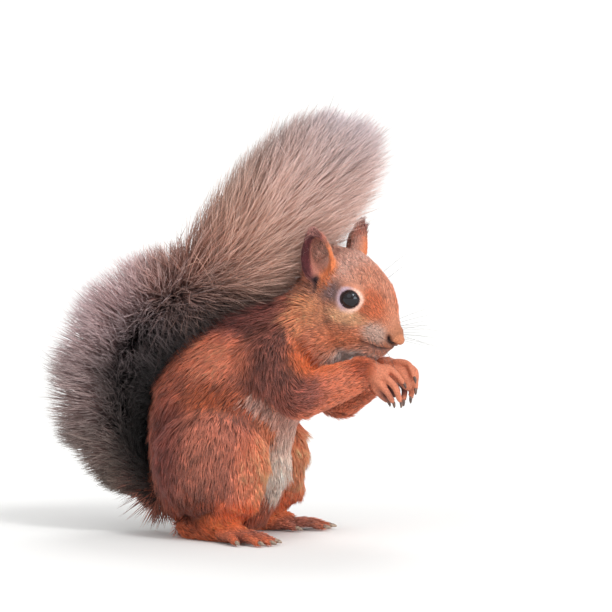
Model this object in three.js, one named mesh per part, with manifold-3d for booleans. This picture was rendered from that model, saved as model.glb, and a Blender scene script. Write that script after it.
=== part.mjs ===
// A red squirrel sitting up on its haunches, forepaws held together at its mouth and its tail laid up along
// its back and over its head. Life size, in millimetres: +X is where the body faces, +Y is its left, +Z is
// up, and z = 0 is the level of the soles. The solids reach to the tips of the coat.
import * as THREE from "three";
import { mergeVertices } from "three/addons/utils/BufferGeometryUtils.js";
import Module from "manifold-3d";

const wasm = await Module();
wasm.setup();

const GAP = 0.3; // clearance between neighbouring pieces
const SLIVER = 0.02; // cuts leave no edges shorter than this
const SIDES = { right: -1, left: 1 };
const V = (x, y, z) => new THREE.Vector3(x, y, z);

// Driving sizes
const head = { at: V(57, -1.5, 108.8), yaw: -15, pitch: 17, roll: 4 };
const eye = { at: V(9.6, 10.7, 4.4), size: V(5, 5, 5) };
const ear = {
  root: V(-8, 12.5, 9),
  tip: V(-13.2, 18.5, 29.8),
  width: 15.5,
  depth: 9.5,
  wall: 1.9,
  taper: 0.26,
};
const thigh = { at: V(1, 24, 35.5), size: V(28, 15.5, 27.5) };
const foot = { heel: V(-12.5, 18, 6.2), ball: V(17.5, 30, 4.4), toeRadius: 2.2 };
const claws = {
  hand: { length: 3.8, radius: 0.85, curl: 0.5 },
  foot: { length: 5.2, radius: 1.05, curl: 0.1 },
};

// ---- Fields: the distance from a point to a shape's surface, below zero inside it ----

// An ellipsoid, straight or in a frame of its own.
function egg(centre, size, frame) {
  const toLocal = frame?.clone().invert();
  const p = V(0, 0, 0);
  const q = V(0, 0, 0);
  return (point) => {
    p.copy(point);
    if (toLocal) p.applyMatrix4(toLocal);
    p.sub(centre).divide(size);
    q.copy(p).divide(size);
    const reach = p.length();
    return reach < 1e-6 ? -Math.min(size.x, size.y, size.z) : (reach * (reach - 1)) / q.length();
  };
}

const ball = (centre, radius, frame) => egg(centre, V(radius, radius, radius), frame);

// A limb from a to b whose radius changes from ra to rb.
function limb(a, b, ra, rb, frame) {
  const start = frame ? a.clone().applyMatrix4(frame) : a;
  const axis = (frame ? b.clone().applyMatrix4(frame) : b).clone().sub(start);
  const p = V(0, 0, 0);
  return (point) => {
    p.copy(point).sub(start);
    const along = THREE.MathUtils.clamp(p.dot(axis) / axis.lengthSq(), 0, 1);
    return p.addScaledVector(axis, -along).length() - THREE.MathUtils.lerp(ra, rb, along);
  };
}

// Shapes flowing into each other over the distance k.
function blend(k, ...fields) {
  return (point) => {
    let d = fields[0](point);
    for (let i = 1; i < fields.length; i++) {
      const e = fields[i](point);
      const h = Math.max(k - Math.abs(d - e), 0) / k;
      d = Math.min(d, e) - (h * h * k) / 4;
    }
    return d;
  };
}

// ---- Solids ----

function solidOf(geometry) {
  const bare = geometry.clone();
  bare.deleteAttribute("normal");
  bare.deleteAttribute("uv");
  const merged = mergeVertices(bare, 1e-4);
  return new wasm.Manifold(
    new wasm.Mesh({
      numProp: 3,
      vertProperties: new Float32Array(merged.attributes.position.array),
      triVerts: new Uint32Array(merged.index.array),
    }),
  );
}

function geometryOf(solid) {
  const mesh = solid.getMesh();
  const places = new Float32Array(mesh.vertProperties);
  const geometry = new THREE.BufferGeometry();
  geometry.setAttribute("position", new THREE.BufferAttribute(places, 3));
  geometry.setIndex(withoutSlivers(places, [...mesh.triVerts]));
  geometry.computeVertexNormals();
  return geometry;
}

// The triangles that stay when each edge shorter than SLIVER is drawn to one point.
function withoutSlivers(places, triangles) {
  const at = (i) => V(...places.subarray(3 * i, 3 * i + 3));
  const kept = new Map();
  const keptOf = (i) => (kept.has(i) ? keptOf(kept.get(i)) : i);
  for (let i = 0; i < triangles.length; i++) {
    const a = keptOf(triangles[i]);
    const b = keptOf(triangles[i % 3 < 2 ? i + 1 : i - 2]);
    if (a !== b && at(a).distanceTo(at(b)) < SLIVER) kept.set(b, a);
  }
  const faces = [];
  for (let i = 0; i < triangles.length; i += 3) {
    const [a, b, c] = triangles.slice(i, i + 3).map(keptOf);
    if (a !== b && b !== c && c !== a) faces.push(a, b, c);
  }
  return faces;
}

// A field's surface as a mesh: one vertex in each cell that the surface crosses, one quad across each grid
// edge that it crosses. The box closes what reaches past it.
function skinOf(field, low, high, cell) {
  const count = ["x", "y", "z"].map((k) => Math.ceil((high[k] - low[k]) / cell) + 3);
  const [nx, ny, nz] = count;
  const at = (i, j, k) => V(low.x + (i - 1) * cell, low.y + (j - 1) * cell, low.z + (k - 1) * cell);
  const index = (i, j, k) => i + nx * (j + ny * k);
  const value = new Float32Array(nx * ny * nz);
  for (let k = 0; k < nz; k++)
    for (let j = 0; j < ny; j++)
      for (let i = 0; i < nx; i++) {
        const border = i < 1 || j < 1 || k < 1 || i > nx - 2 || j > ny - 2 || k > nz - 2;
        value[index(i, j, k)] = border ? cell : field(at(i, j, k));
      }
  const vertex = new Map();
  const places = [];
  const corners = [0, 1, 2, 3, 4, 5, 6, 7].map((c) => [c & 1, (c >> 1) & 1, c >> 2]);
  function vertexOf(i, j, k) {
    const key = index(i, j, k);
    if (vertex.has(key)) return vertex.get(key);
    const sum = V(0, 0, 0);
    let crossings = 0;
    for (let c = 0; c < 8; c++)
      for (const step of [1, 2, 4]) {
        if (c & step) continue;
        const [a, b] = [corners[c], corners[c | step]];
        const fa = value[index(i + a[0], j + a[1], k + a[2])];
        const fb = value[index(i + b[0], j + b[1], k + b[2])];
        if (fa < 0 === fb < 0) continue;
        sum.add(V(...a).lerp(V(...b), fa / (fa - fb)));
        crossings++;
      }
    const p = at(i, j, k).addScaledVector(sum, cell / crossings);
    vertex.set(key, places.length / 3);
    places.push(p.x, p.y, p.z);
    return places.length / 3 - 1;
  }
  const faces = [];
  const axes = [[1, 0, 0], [0, 1, 0], [0, 0, 1]];
  for (let k = 0; k < nz - 1; k++)
    for (let j = 0; j < ny - 1; j++)
      for (let i = 0; i < nx - 1; i++)
        axes.forEach((step, axis) => {
          const inside = value[index(i, j, k)] < 0;
          if (inside === value[index(i + step[0], j + step[1], k + step[2])] < 0) return;
          const u = axes[(axis + 1) % 3];
          const v = axes[(axis + 2) % 3];
          const ring = [[0, 0], [1, 0], [1, 1], [0, 1]].map(([a, b]) =>
            vertexOf(i - a * u[0] - b * v[0], j - a * u[1] - b * v[1], k - a * u[2] - b * v[2]),
          );
          if (!inside) ring.reverse();
          faces.push(ring[0], ring[1], ring[2], ring[0], ring[2], ring[3]);
        });
  const geometry = new THREE.BufferGeometry();
  geometry.setAttribute("position", new THREE.BufferAttribute(new Float32Array(places), 3));
  geometry.setIndex(faces);
  return geometry;
}

// A smooth run of oval sections through the given stations. "wide" is a section's half-width. "back" and
// "front" are its reach to either side of the line through the stations. The first and last stations are
// points. "grow" moves the surface out all round.
function sweep(stations, grow = 0, { sides = 12, perSpan = 2 } = {}) {
  const curve = new THREE.CatmullRomCurve3(stations.map((s) => s.at), false, "centripetal");
  const rings = (stations.length - 1) * perSpan;
  const places = [];
  const faces = [];
  const wide = V(0, 1, 0);
  for (let r = 0; r <= rings; r++) {
    const i = Math.min(Math.floor(r / perSpan), stations.length - 2);
    const share = r / perSpan - i;
    const cube = (key) => THREE.MathUtils.lerp(stations[i][key] ** 3, stations[i + 1][key] ** 3, share);
    const size = (key) => Math.cbrt(cube(key)) + grow;
    const tangent = curve.getTangent(r / rings);
    wide.addScaledVector(tangent, -wide.dot(tangent)).normalize();
    const behind = V(0, 0, 0).crossVectors(tangent, wide);
    const ends = r === 0 || r === rings;
    for (let s = 0; s < (ends ? 1 : sides); s++) {
      const angle = (2 * Math.PI * s) / sides;
      const p = curve.getPoint(r / rings);
      if (ends) p.addScaledVector(tangent, r === 0 ? -grow : grow);
      if (!ends) p.addScaledVector(wide, size("wide") * Math.cos(angle));
      if (!ends) p.addScaledVector(behind, size(Math.sin(angle) > 0 ? "back" : "front") * Math.sin(angle));
      places.push(p.x, p.y, p.z);
    }
  }
  const ringStart = (r) => (r === 0 ? 0 : 1 + (r - 1) * sides);
  const last = ringStart(rings);
  for (let s = 0; s < sides; s++) {
    const next = (s + 1) % sides;
    faces.push(0, ringStart(1) + next, ringStart(1) + s);
    faces.push(last, ringStart(rings - 1) + s, ringStart(rings - 1) + next);
    for (let r = 1; r < rings - 1; r++) {
      const [a, b] = [ringStart(r), ringStart(r + 1)];
      faces.push(a + s, a + next, b + next, a + s, b + next, b + s);
    }
  }
  const geometry = new THREE.BufferGeometry();
  geometry.setAttribute("position", new THREE.BufferAttribute(new Float32Array(places), 3));
  geometry.setIndex(faces);
  return solidOf(geometry);
}

const station = (at, wide, back, front = back) => ({ at, wide, back, front });
const endPoint = (at) => station(at, 0, 0);

// A round limb through the given points, rounded off past both ends.
function tube(points, radii, grow, options) {
  const past = (end, inner, by) => end.clone().add(end.clone().sub(inner).setLength(by));
  const first = past(points[0], points[1], radii[0] * 0.9);
  const last = past(points.at(-1), points.at(-2), radii.at(-1) * 0.9);
  const rounds = points.map((p, i) => station(p, radii[i], radii[i]));
  return sweep([endPoint(first), ...rounds, endPoint(last)], grow, options);
}

// "taper" makes the top of the egg that much narrower across y than its middle, and its bottom wider.
function eggSolid(centre, size, grow, { frame = new THREE.Matrix4(), sides = 12, taper = 0 } = {}) {
  const sphere = new THREE.SphereGeometry(1, sides, Math.round(sides * 0.65));
  const points = sphere.attributes.position;
  for (let i = 0; i < points.count; i++) points.setY(i, points.getY(i) * (1 - taper * points.getZ(i)));
  sphere.scale(size.x + grow, size.y + grow, size.z + grow).translate(...centre.toArray());
  return solidOf(sphere.applyMatrix4(frame));
}

// All that lies ahead of a plane through one point, facing another.
function aheadOf(from, to, grow) {
  const box = new THREE.BoxGeometry(80 + grow, 160, 160).translate(40 - grow / 2, 0, 0);
  return solidOf(box.applyMatrix4(frameAlong(from, to)));
}

// A frame at one point whose x axis points to another.
function frameAlong(from, to) {
  const ahead = to.clone().sub(from).normalize();
  const side = V(0, 0, 1).cross(ahead).normalize();
  return new THREE.Matrix4().makeBasis(ahead, side, ahead.clone().cross(side)).setPosition(from);
}

const mirrored = (p, side) => V(p.x, p.y * side, p.z);

// ---- The head, in a frame of its own: x to the nose, y to its left, z to the crown ----

const angles = [head.roll, head.pitch, head.yaw].map(THREE.MathUtils.degToRad);
const headFrame = new THREE.Matrix4()
  .makeRotationFromEuler(new THREE.Euler(...angles, "ZYX"))
  .setPosition(head.at);

const noseAt = V(31, 0, -8.8);

const headField = (() => {
  const f = headFrame;
  const skull = blend(
    7,
    egg(V(-3, 0, 3.6), V(19, 16, 18.6), f), // braincase
    egg(V(9, 0, 2.2), V(15, 13.4, 13.6), f), // brow and orbits
    limb(V(13, 0, -1.5), V(27.6, 0, -7.8), 11, 6.2, f), // bridge of the nose
    limb(V(5.5, 0, -14.6), V(20.5, 0, -14.8), 10.4, 5.3, f), // lower jaw
    egg(V(2, -8, -7.5), V(12.5, 9.6, 10.5), f), // cheeks
    egg(V(2, 8, -7.5), V(12.5, 9.6, 10.5), f),
  );
  const pads = blend(1.5, ball(V(25.5, -3, -11.2), 4.5, f), ball(V(25.5, 3, -11.2), 4.5, f));
  return blend(2.5, skull, pads);
})();

// The frame of one ear: z from root to tip, x out of its hollow.
function earFrame(side) {
  const root = mirrored(ear.root, side);
  const up = mirrored(ear.tip, side).sub(root).normalize();
  const open = V(0.5, 0.86 * side, 0);
  open.addScaledVector(up, -open.dot(up)).normalize();
  const across = V(0, 0, 0).crossVectors(up, open);
  const own = new THREE.Matrix4().makeBasis(open, across, up).setPosition(root);
  return headFrame.clone().multiply(own);
}

// An ear as an egg with a cup cut out of its outer face. The room that it takes is the whole egg's.
function earSolid(side, grow) {
  const long = ear.root.distanceTo(ear.tip);
  const own = { frame: earFrame(side), sides: 12, taper: ear.taper };
  const leaf = eggSolid(V(0, 0, long * 0.4), V(ear.depth / 2, ear.width / 2, long * 0.62), grow, own);
  const cup = V(ear.depth / 2 - ear.wall + 1.4, ear.width / 2 - ear.wall, long * 0.5);
  return grow ? leaf : leaf.subtract(eggSolid(V(ear.wall + 1.2, 0, long * 0.46), cup, 0, own));
}

// ---- Trunk, neck and limbs ----

const trunkStations = [
  endPoint(V(-4, 0, -1.5)),
  station(V(-5, 0, 6), 20, 15, 23),
  station(V(-5, 0, 22), 27.5, 31, 30),
  station(V(-2, 0, 37), 29, 38.5, 32),
  station(V(4, 0, 52), 29.5, 44, 27),
  station(V(14, 0, 66.5), 28, 40, 23.5),
  station(V(28, 0, 79.5), 24, 32, 22),
  station(V(40, -0.5, 92), 20, 21.5, 19),
  station(V(52, -1.5, 105), 17, 17),
  endPoint(V(62, -2, 114)),
];

const arms = {
  right: { shoulder: V(26, -17, 83), elbow: V(41, -22, 65.5), wrist: V(68.5, -8, 76.2) },
  left: { shoulder: V(27, 17, 83), elbow: V(45, 20, 62.5), wrist: V(69.5, 7, 75.2) },
};

const upperArm = ({ shoulder, elbow }, grow) => tube([shoulder, elbow], [14, 11.2], grow);

function forearm({ elbow, wrist }, grow) {
  const middle = elbow.clone().lerp(wrist, 0.5);
  return tube([elbow, middle, wrist], [10.8, 9.5, 7.1], grow, { sides: 9 });
}

// A hind leg: the thigh, and from inside it over the knee to the heel. Below the knee it is the shank.
function legSolid(side, grow) {
  const points = [V(12, 24 * side, 40), V(14, 27.5 * side, 20), V(-5, 20.5 * side, 9)];
  const shank = tube(points, [13, 11.5, 8], grow, { sides: 10 });
  return eggSolid(mirrored(thigh.at, side), thigh.size, grow, { sides: 14 }).add(shank);
}
const belowKnee = (grow) => aheadOf(V(0, 0, 19), V(1.5, 0, 9), grow);

// ---- Hands and feet ----

// One forepaw: a palm and four fingers with their claws. A finger goes from its knuckle over a bend to its
// tip.
const hands = {
  right: {
    palm: { from: V(68.5, -8, 75.8), to: V(75.2, -9.2, 74.2), radius: 6.6 },
    fingers: [
      [V(76, -7.4, 77.8), V(81.5, -8.2, 76.4), V(84.4, -5.6, 72.4)],
      [V(76.6, -10, 75.2), V(82.4, -11.6, 71.4), V(84.8, -9.6, 64.6)],
      [V(75.4, -11, 72.2), V(79.6, -12.4, 68.2), V(81.2, -9.8, 64.2)],
      [V(73.4, -9.4, 70.6), V(76.4, -10.6, 66.8), V(78, -8, 64.2)],
    ],
  },
  left: {
    palm: { from: V(69.5, 7, 75.2), to: V(76.6, 6.2, 77), radius: 5.8 },
    fingers: [
      [V(77.6, 4, 80.2), V(84, 3.4, 79.6), V(87.6, 0.6, 74.6)],
      [V(78.8, 6.4, 79.2), V(86.2, 5.6, 76.6), V(88, 2, 69.6)],
      [V(78.4, 7.2, 76.2), V(85.2, 6.4, 72), V(85.6, 3, 65.6)],
      [V(76, 6.4, 73.2), V(81, 5.8, 69.2), V(82.2, 2.6, 64.2)],
    ],
  },
};

function handSolid({ palm, fingers }, grow) {
  const middle = palm.from.clone().lerp(palm.to, 0.5);
  const parts = [tube([palm.from, palm.to], [palm.radius, palm.radius], grow, { sides: 8 })];
  for (const points of fingers) {
    const start = points[0].clone().lerp(middle, 0.3);
    parts.push(tube([start, ...points.slice(1)], [2.3, 2, 1.5], grow, { sides: 6, perSpan: 1 }));
  }
  return wasm.Manifold.union(parts);
}

// A claw that leaves its digit along the last stretch and curls down.
function clawSolid(before, tip, { length, radius, curl }, grow) {
  const out = tip.clone().sub(before).normalize();
  const down = V(0, 0, -1).addScaledVector(out, out.z).normalize();
  const point = (a, b) =>
    tip.clone().addScaledVector(out, a * length).addScaledVector(down, b * length * curl);
  const round = (at, share) => station(at, radius * share, radius * share);
  const run = [round(point(0.2, -0.1), 0.9), round(point(0.5, 0), 1), round(point(0.8, 0.28), 0.66)];
  const stations = [endPoint(point(0.05, -0.1)), ...run, endPoint(point(1, 0.75))];
  return sweep(stations, grow, { sides: 6, perSpan: 1 });
}

// The toes of one hind foot: where each leaves the ball of the foot, how far it reaches and how far it
// splays.
const toes = [
  { across: -6.4, back: 7.5, reach: 9.5, splay: -24 },
  { across: -3.6, back: 0.5, reach: 14.5, splay: -9 },
  { across: 0, back: 0, reach: 16.5, splay: 0 },
  { across: 3.4, back: 0.5, reach: 15.5, splay: 8 },
  { across: 6, back: 5, reach: 11.5, splay: 22 },
];

function footLayout(side) {
  const heel = mirrored(foot.heel, side);
  const ballOf = mirrored(foot.ball, side);
  const ahead = ballOf.clone().sub(heel).setZ(0).normalize();
  const outward = V(-ahead.y, ahead.x, 0).multiplyScalar(side);
  const digits = toes.map((toe) => {
    const way = ahead.clone().applyAxisAngle(V(0, 0, 1), THREE.MathUtils.degToRad(toe.splay) * side);
    const start = ballOf.clone().addScaledVector(outward, toe.across).addScaledVector(ahead, -toe.back);
    const point = (share, z) => start.clone().addScaledVector(way, share * toe.reach).setZ(z);
    return [point(0.1, 3.6), point(0.6, 4.2), point(1, 2.3)];
  });
  return { heel, ballOf, ahead, digits };
}

function footSolid(side, grow) {
  const { heel, ballOf, ahead, digits } = footLayout(side);
  const stations = [
    endPoint(heel.clone().addScaledVector(ahead, -7)),
    station(heel, 6.4, 6.5),
    station(heel.clone().lerp(ballOf, 0.55), 6.8, 6),
    station(ballOf, 8, 4.8),
    endPoint(ballOf.clone().addScaledVector(ahead, 7).setZ(3)),
  ];
  const radii = [2.7, 2.6, foot.toeRadius * 0.9];
  const parts = digits.map((points) => tube(points, radii, grow, { sides: 6, perSpan: 1 }));
  return wasm.Manifold.union([sweep(stations, grow, { sides: 10 }), ...parts]);
}

// ---- The tail: where its bone runs, and how far its hair stands off it, away from the body and towards it

const tailStations = [
  endPoint(V(-26, 0, 15)),
  station(V(-38, 0, 22), 14, 8.5),
  station(V(-50, 0, 36), 23, 20, 15),
  station(V(-56, 0, 57), 28, 31, 18),
  station(V(-53, 0, 78), 30, 31, 20),
  station(V(-42, 0.5, 96), 31, 29, 22),
  station(V(-25, 2, 109), 31, 24, 24),
  station(V(-9, 4, 118), 32, 18, 26),
  station(V(4, 5, 130), 33, 26, 29),
  station(V(20, 4, 148), 32, 26, 29),
  station(V(34, 2, 165), 29, 21, 29),
  station(V(46, 0, 178), 21, 17, 25),
  endPoint(V(57, -1, 190)),
];
const tailNames = ["tail_root", "tail_lower", "tail_middle", "tail_upper", "tail_tip"];
const tailCuts = [2.4, 4.5, 6.6, 9]; // the stations between which the tail is parted

// The tail's lengths from root to tip, less what the body takes.
function tailSolids(body) {
  const curve = new THREE.CatmullRomCurve3(tailStations.map((s) => s.at), false, "centripetal");
  const cuts = tailCuts.map((place) => {
    const t = place / (tailStations.length - 1);
    const disc = new THREE.CylinderGeometry(48, 48, GAP, 12);
    disc.applyQuaternion(new THREE.Quaternion().setFromUnitVectors(V(0, 1, 0), curve.getTangent(t)));
    return solidOf(disc.translate(...curve.getPoint(t).toArray()));
  });
  const whole = sweep(tailStations, 0, { sides: 14 });
  const pieces = whole.subtract(wasm.Manifold.union(cuts)).subtract(body).decompose();
  const samples = curve.getPoints(100);
  const alongOf = (piece) => {
    const box = piece.boundingBox();
    const middle = V(...box.min).add(V(...box.max)).multiplyScalar(0.5);
    const far = samples.map((p) => p.distanceTo(middle));
    return far.indexOf(Math.min(...far));
  };
  const largest = pieces.sort((a, b) => b.volume() - a.volume()).slice(0, tailNames.length);
  return largest.sort((a, b) => alongOf(a) - alongOf(b));
}

// ---- The animal ----

const coat = {
  red: { color: 0x9a4a26, roughness: 0.9 },
  face: { color: 0xa8552e, roughness: 0.9 },
  feet: { color: 0xb4562a, roughness: 0.85 },
  tail: { color: 0x6a4a40, roughness: 0.95 },
  eye: { color: 0x0d0a0c, roughness: 0.08 },
  claw: { color: 0x2a2020, roughness: 0.45 },
  nose: { color: 0xa0583c, roughness: 0.6 },
};
const squirrel = new THREE.Group();

function add(name, look, solid) {
  const material = new THREE.MeshStandardMaterial({ ...coat[look], metalness: 0 });
  const mesh = new THREE.Mesh(geometryOf(solid), material);
  mesh.name = name;
  squirrel.add(mesh);
}

// What earlier parts have taken, grown by the clearance. The floor is the first, so that the soles are flat.
let taken = solidOf(new THREE.BoxGeometry(300, 200, 20).translate(0, 0, -10));

// A part takes its own solid, less what others have taken, and keeps the next ones clear of it.
function take(name, look, solidOfSize) {
  const pieces = solidOfSize(0).subtract(taken).decompose();
  const [largest] = pieces.sort((a, b) => b.volume() - a.volume());
  add(name, look, largest);
  taken = taken.add(solidOfSize(GAP));
}

for (const [name, side] of Object.entries(SIDES)) {
  const eyeAt = mirrored(eye.at, side).applyMatrix4(headFrame);
  take("eye_" + name, "eye", (grow) => eggSolid(eyeAt, eye.size, grow, { sides: 11 }));

  hands[name].fingers.forEach((points, i) => {
    take(`claw_hand_${name}_${i + 1}`, "claw", (grow) => clawSolid(points[1], points[2], claws.hand, grow));
  });
  take("hand_" + name, "feet", (grow) => handSolid(hands[name], grow));

  footLayout(side).digits.forEach((points, i) => {
    const level = points[1].clone().setZ(points[2].z + 0.8);
    take(`claw_foot_${name}_${i + 1}`, "claw", (grow) => clawSolid(level, points[2], claws.foot, grow));
  });
  take("foot_" + name, "feet", (grow) => footSolid(side, grow));

  take("ear_" + name, "face", (grow) => earSolid(side, grow));
  take("forearm_" + name, "red", (grow) => forearm(arms[name], grow));
  take("upper_arm_" + name, "red", (grow) => upperArm(arms[name], grow));
  take("shank_" + name, "red", (grow) => legSolid(side, grow).intersect(belowKnee(grow)));
  take("thigh_" + name, "red", (grow) => legSolid(side, grow));
}
take("nose", "nose", (grow) => eggSolid(noseAt, V(3.7, 3.4, 3.2), grow, { frame: headFrame, sides: 9 }));

// Trunk, neck and head are one body, parted by planes across it. The tail keeps clear of all of it.
function bodySolid(grow) {
  const skull = skinOf((p) => headField(p) - grow, V(28, -32, 76), V(100, 32, 139), 3.8);
  return sweep(trunkStations, grow, { sides: 14 }).add(solidOf(skull));
}
tailSolids(taken.add(bodySolid(GAP))).forEach((piece, i) => add(tailNames[i], "tail", piece));

const body = bodySolid(0);
const headZone = (grow) => aheadOf(V(43.5, 0, 98), V(53, 0, 102), grow);
const neckZone = (grow) => aheadOf(V(30, 0, 90), V(45, 0, 103), grow);
const partOfBody = (zone) => (grow) => (grow ? zone(grow) : body.intersect(zone(0)));
take("head", "face", partOfBody(headZone));
take("neck", "red", partOfBody(neckZone));
take("trunk", "red", () => body);

// The origin is on the floor, under the middle of the whole.
const extent = new THREE.Box3().setFromObject(squirrel);
const middle = extent.getCenter(V(0, 0, 0));
squirrel.position.set(-middle.x, -middle.y, -extent.min.z);

export default squirrel;
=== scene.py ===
# Red squirrel: skin, coat, eyes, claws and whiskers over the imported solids. Metres, +Z up.
import math

import bpy
import numpy as np
from mathutils import Euler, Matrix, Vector, noise
from mathutils.bvhtree import BVHTree
from mathutils.kdtree import KDTree


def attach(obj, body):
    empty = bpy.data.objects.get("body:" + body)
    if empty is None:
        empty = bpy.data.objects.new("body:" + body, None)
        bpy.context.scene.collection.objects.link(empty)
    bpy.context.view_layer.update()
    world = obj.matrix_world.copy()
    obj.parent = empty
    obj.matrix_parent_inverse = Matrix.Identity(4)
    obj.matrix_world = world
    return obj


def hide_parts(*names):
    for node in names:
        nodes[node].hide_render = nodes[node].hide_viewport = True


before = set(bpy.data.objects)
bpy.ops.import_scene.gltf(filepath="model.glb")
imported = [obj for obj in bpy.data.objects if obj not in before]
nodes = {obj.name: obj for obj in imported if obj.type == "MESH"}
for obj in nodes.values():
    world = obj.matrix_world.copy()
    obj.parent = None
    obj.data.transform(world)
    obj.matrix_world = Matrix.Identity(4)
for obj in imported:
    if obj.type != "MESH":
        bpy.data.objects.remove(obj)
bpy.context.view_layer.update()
mm = 0.001
chance = np.random.default_rng(11)

# The head's own axes: x to the nose, y to its left, z up.
head = {
    "at": Vector((55.4, -1.5, 108.8)) * mm,
    "turn": Euler((math.radians(4), math.radians(17), math.radians(-15))),
}
headAxes = np.array(head["turn"].to_matrix())


def selectOnly(*objects):
    bpy.ops.object.select_all(action="DESELECT")
    for obj in objects:
        obj.select_set(True)
    bpy.context.view_layer.objects.active = objects[0]


def setMode(mode):
    bpy.ops.object.mode_set(mode=mode)


def applyModifier(obj, kind, **settings):
    selectOnly(obj)
    modifier = obj.modifiers.new(kind, kind)
    for setting, value in settings.items():
        setattr(modifier, setting, value)
    bpy.ops.object.modifier_apply(modifier=modifier.name)


def smooth(obj, rounds, **settings):
    applyModifier(obj, "SMOOTH", factor=0.5, iterations=rounds, **settings)


def mergeDoubles(obj):
    selectOnly(obj)
    setMode("EDIT")
    bpy.ops.mesh.select_all(action="SELECT")
    bpy.ops.mesh.remove_doubles(threshold=1e-6)
    bpy.ops.mesh.normals_make_consistent(inside=False)
    setMode("OBJECT")


def addObject(name, data):
    obj = bpy.data.objects.new(name, data)
    bpy.context.collection.objects.link(obj)
    return obj


def meshCopy(nodeName):
    mesh = nodes[nodeName].data.copy()
    mesh.materials.clear()
    return addObject(nodeName + "Copy", mesh)


def joinedCopy(nodeNames, name, grow):
    copies = [meshCopy(nodeName) for nodeName in nodeNames]
    selectOnly(*copies)
    bpy.ops.object.join()
    obj = bpy.context.object
    obj.name = name
    mergeDoubles(obj)
    applyModifier(obj, "DISPLACE", strength=grow, mid_level=0)
    return obj


def finishPiece(obj, material, replaced=()):
    obj.data.materials.clear()
    obj.data.materials.append(material)
    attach(obj, "root")
    if replaced:
        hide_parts(*replaced)


def unit(vectors):
    return vectors / np.maximum(np.linalg.norm(vectors, axis=-1, keepdims=True), 1e-12)


def smoothstep(low, high, values):
    t = np.clip((values - low) / (high - low), 0, 1)
    return t * t * (3 - 2 * t)


def fall(low, high, values):
    return 1 - smoothstep(low, high, values)


def distances(points, place):
    return np.linalg.norm(points - place, axis=1)


def squareTo(axes, ways):
    # the ways without their share along the axes, at length one
    return unit(ways - axes * (ways * axes).sum(1, keepdims=True))


def mirrored(points):
    # the points with those of the right side brought to the left
    return np.stack([points[:, 0], np.abs(points[:, 1]), points[:, 2]], 1)


def searchTree(obj):
    return BVHTree.FromObject(obj, bpy.context.evaluated_depsgraph_get())


def intoHead(points):
    return (points - np.array(head["at"])) @ headAxes


def outOfHead(points):
    return np.asarray(points) @ headAxes.T + np.array(head["at"])


def headPlace(place):
    # a place given in the head's axes, in millimetres
    return outOfHead(np.array(place) * mm)


def linear(tones):
    # from screen tones of 0 to 255 to the linear values that a shader works in
    tones = np.clip(np.asarray(tones, float) / 255, 0, 1)
    return np.where(tones <= 0.04045, tones / 12.92, ((tones + 0.055) / 1.055) ** 2.4)


def readNumbers(collection, key, width, kind):
    values = np.empty(len(collection) * width, kind)
    collection.foreach_get(key, values)
    return values.reshape(-1, width)


def readVectors(collection, key, width=3):
    return readNumbers(collection, key, width, np.float32).astype(float)


def writeValues(collection, key, values):
    collection.foreach_set(key, values.astype(np.float32).ravel())


def newMaterial(name):
    material = bpy.data.materials.new(name)
    material.use_nodes = True
    tree = material.node_tree
    return material, tree, tree.nodes["Principled BSDF"]


def fillInputs(tree, node, inputs):
    # each input gets a value, or a link from another node's output
    for socket, value in inputs.items():
        if isinstance(value, bpy.types.NodeSocket):
            tree.links.new(value, node.inputs[socket])
        else:
            node.inputs[socket].default_value = value


def addNode(tree, kind, inputs, **settings):
    node = tree.nodes.new(kind)
    for setting, value in settings.items():
        setattr(node, setting, value)
    fillInputs(tree, node, inputs)
    return node


def addNoise(tree, scale, detail=2.0):
    place = addNode(tree, "ShaderNodeTexCoord", {}).outputs["Object"]
    inputs = {"Vector": place, "Scale": scale, "Detail": detail}
    return addNode(tree, "ShaderNodeTexNoise", inputs).outputs["Fac"]


def addRange(tree, value, low, high, start=0.0, end=1.0):
    inputs = {"Value": value, "From Min": start, "From Max": end, "To Min": low, "To Max": high}
    return addNode(tree, "ShaderNodeMapRange", inputs).outputs["Result"]


def addRamp(tree, value, *stops):
    # a ramp of two colours, each with its place
    ramp = addNode(tree, "ShaderNodeValToRGB", {"Fac": value})
    for element, (position, colour) in zip(ramp.color_ramp.elements, stops):
        element.position = position
        element.color = (*colour, 1)
    return ramp.outputs["Color"]


def addBump(tree, height, strength, depth):
    inputs = {"Height": height, "Strength": strength, "Distance": depth}
    return addNode(tree, "ShaderNodeBump", inputs).outputs["Normal"]


def furMaterial(name, look):
    material, tree, shader = newMaterial(name)
    tone = addNode(tree, "ShaderNodeAttribute", {}, attribute_name="tone").outputs["Color"]
    along = addNode(tree, "ShaderNodeAttribute", {}, attribute_name="along").outputs["Fac"]
    speckle = addNoise(tree, look["speckle"], 3.0)
    strength = addRange(tree, speckle, 1 - look["vary"], 1 + look["vary"], 0.3, 0.7)
    colour = addNode(tree, "ShaderNodeVectorMath", {0: tone, "Scale": strength}, operation="SCALE")
    inputs = {
        "Base Color": colour.outputs["Vector"],
        "Roughness": addRange(tree, along, *look["rough"]),
        "Normal": addBump(tree, addNoise(tree, look["grain"], 4.0), look["bump"], look["bumpDepth"]),
        "Specular IOR Level": look["shine"],
        "Sheen Weight": look["sheen"],
        "Sheen Roughness": 0.5,
    }
    fillInputs(tree, shader, inputs)
    return material


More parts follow.
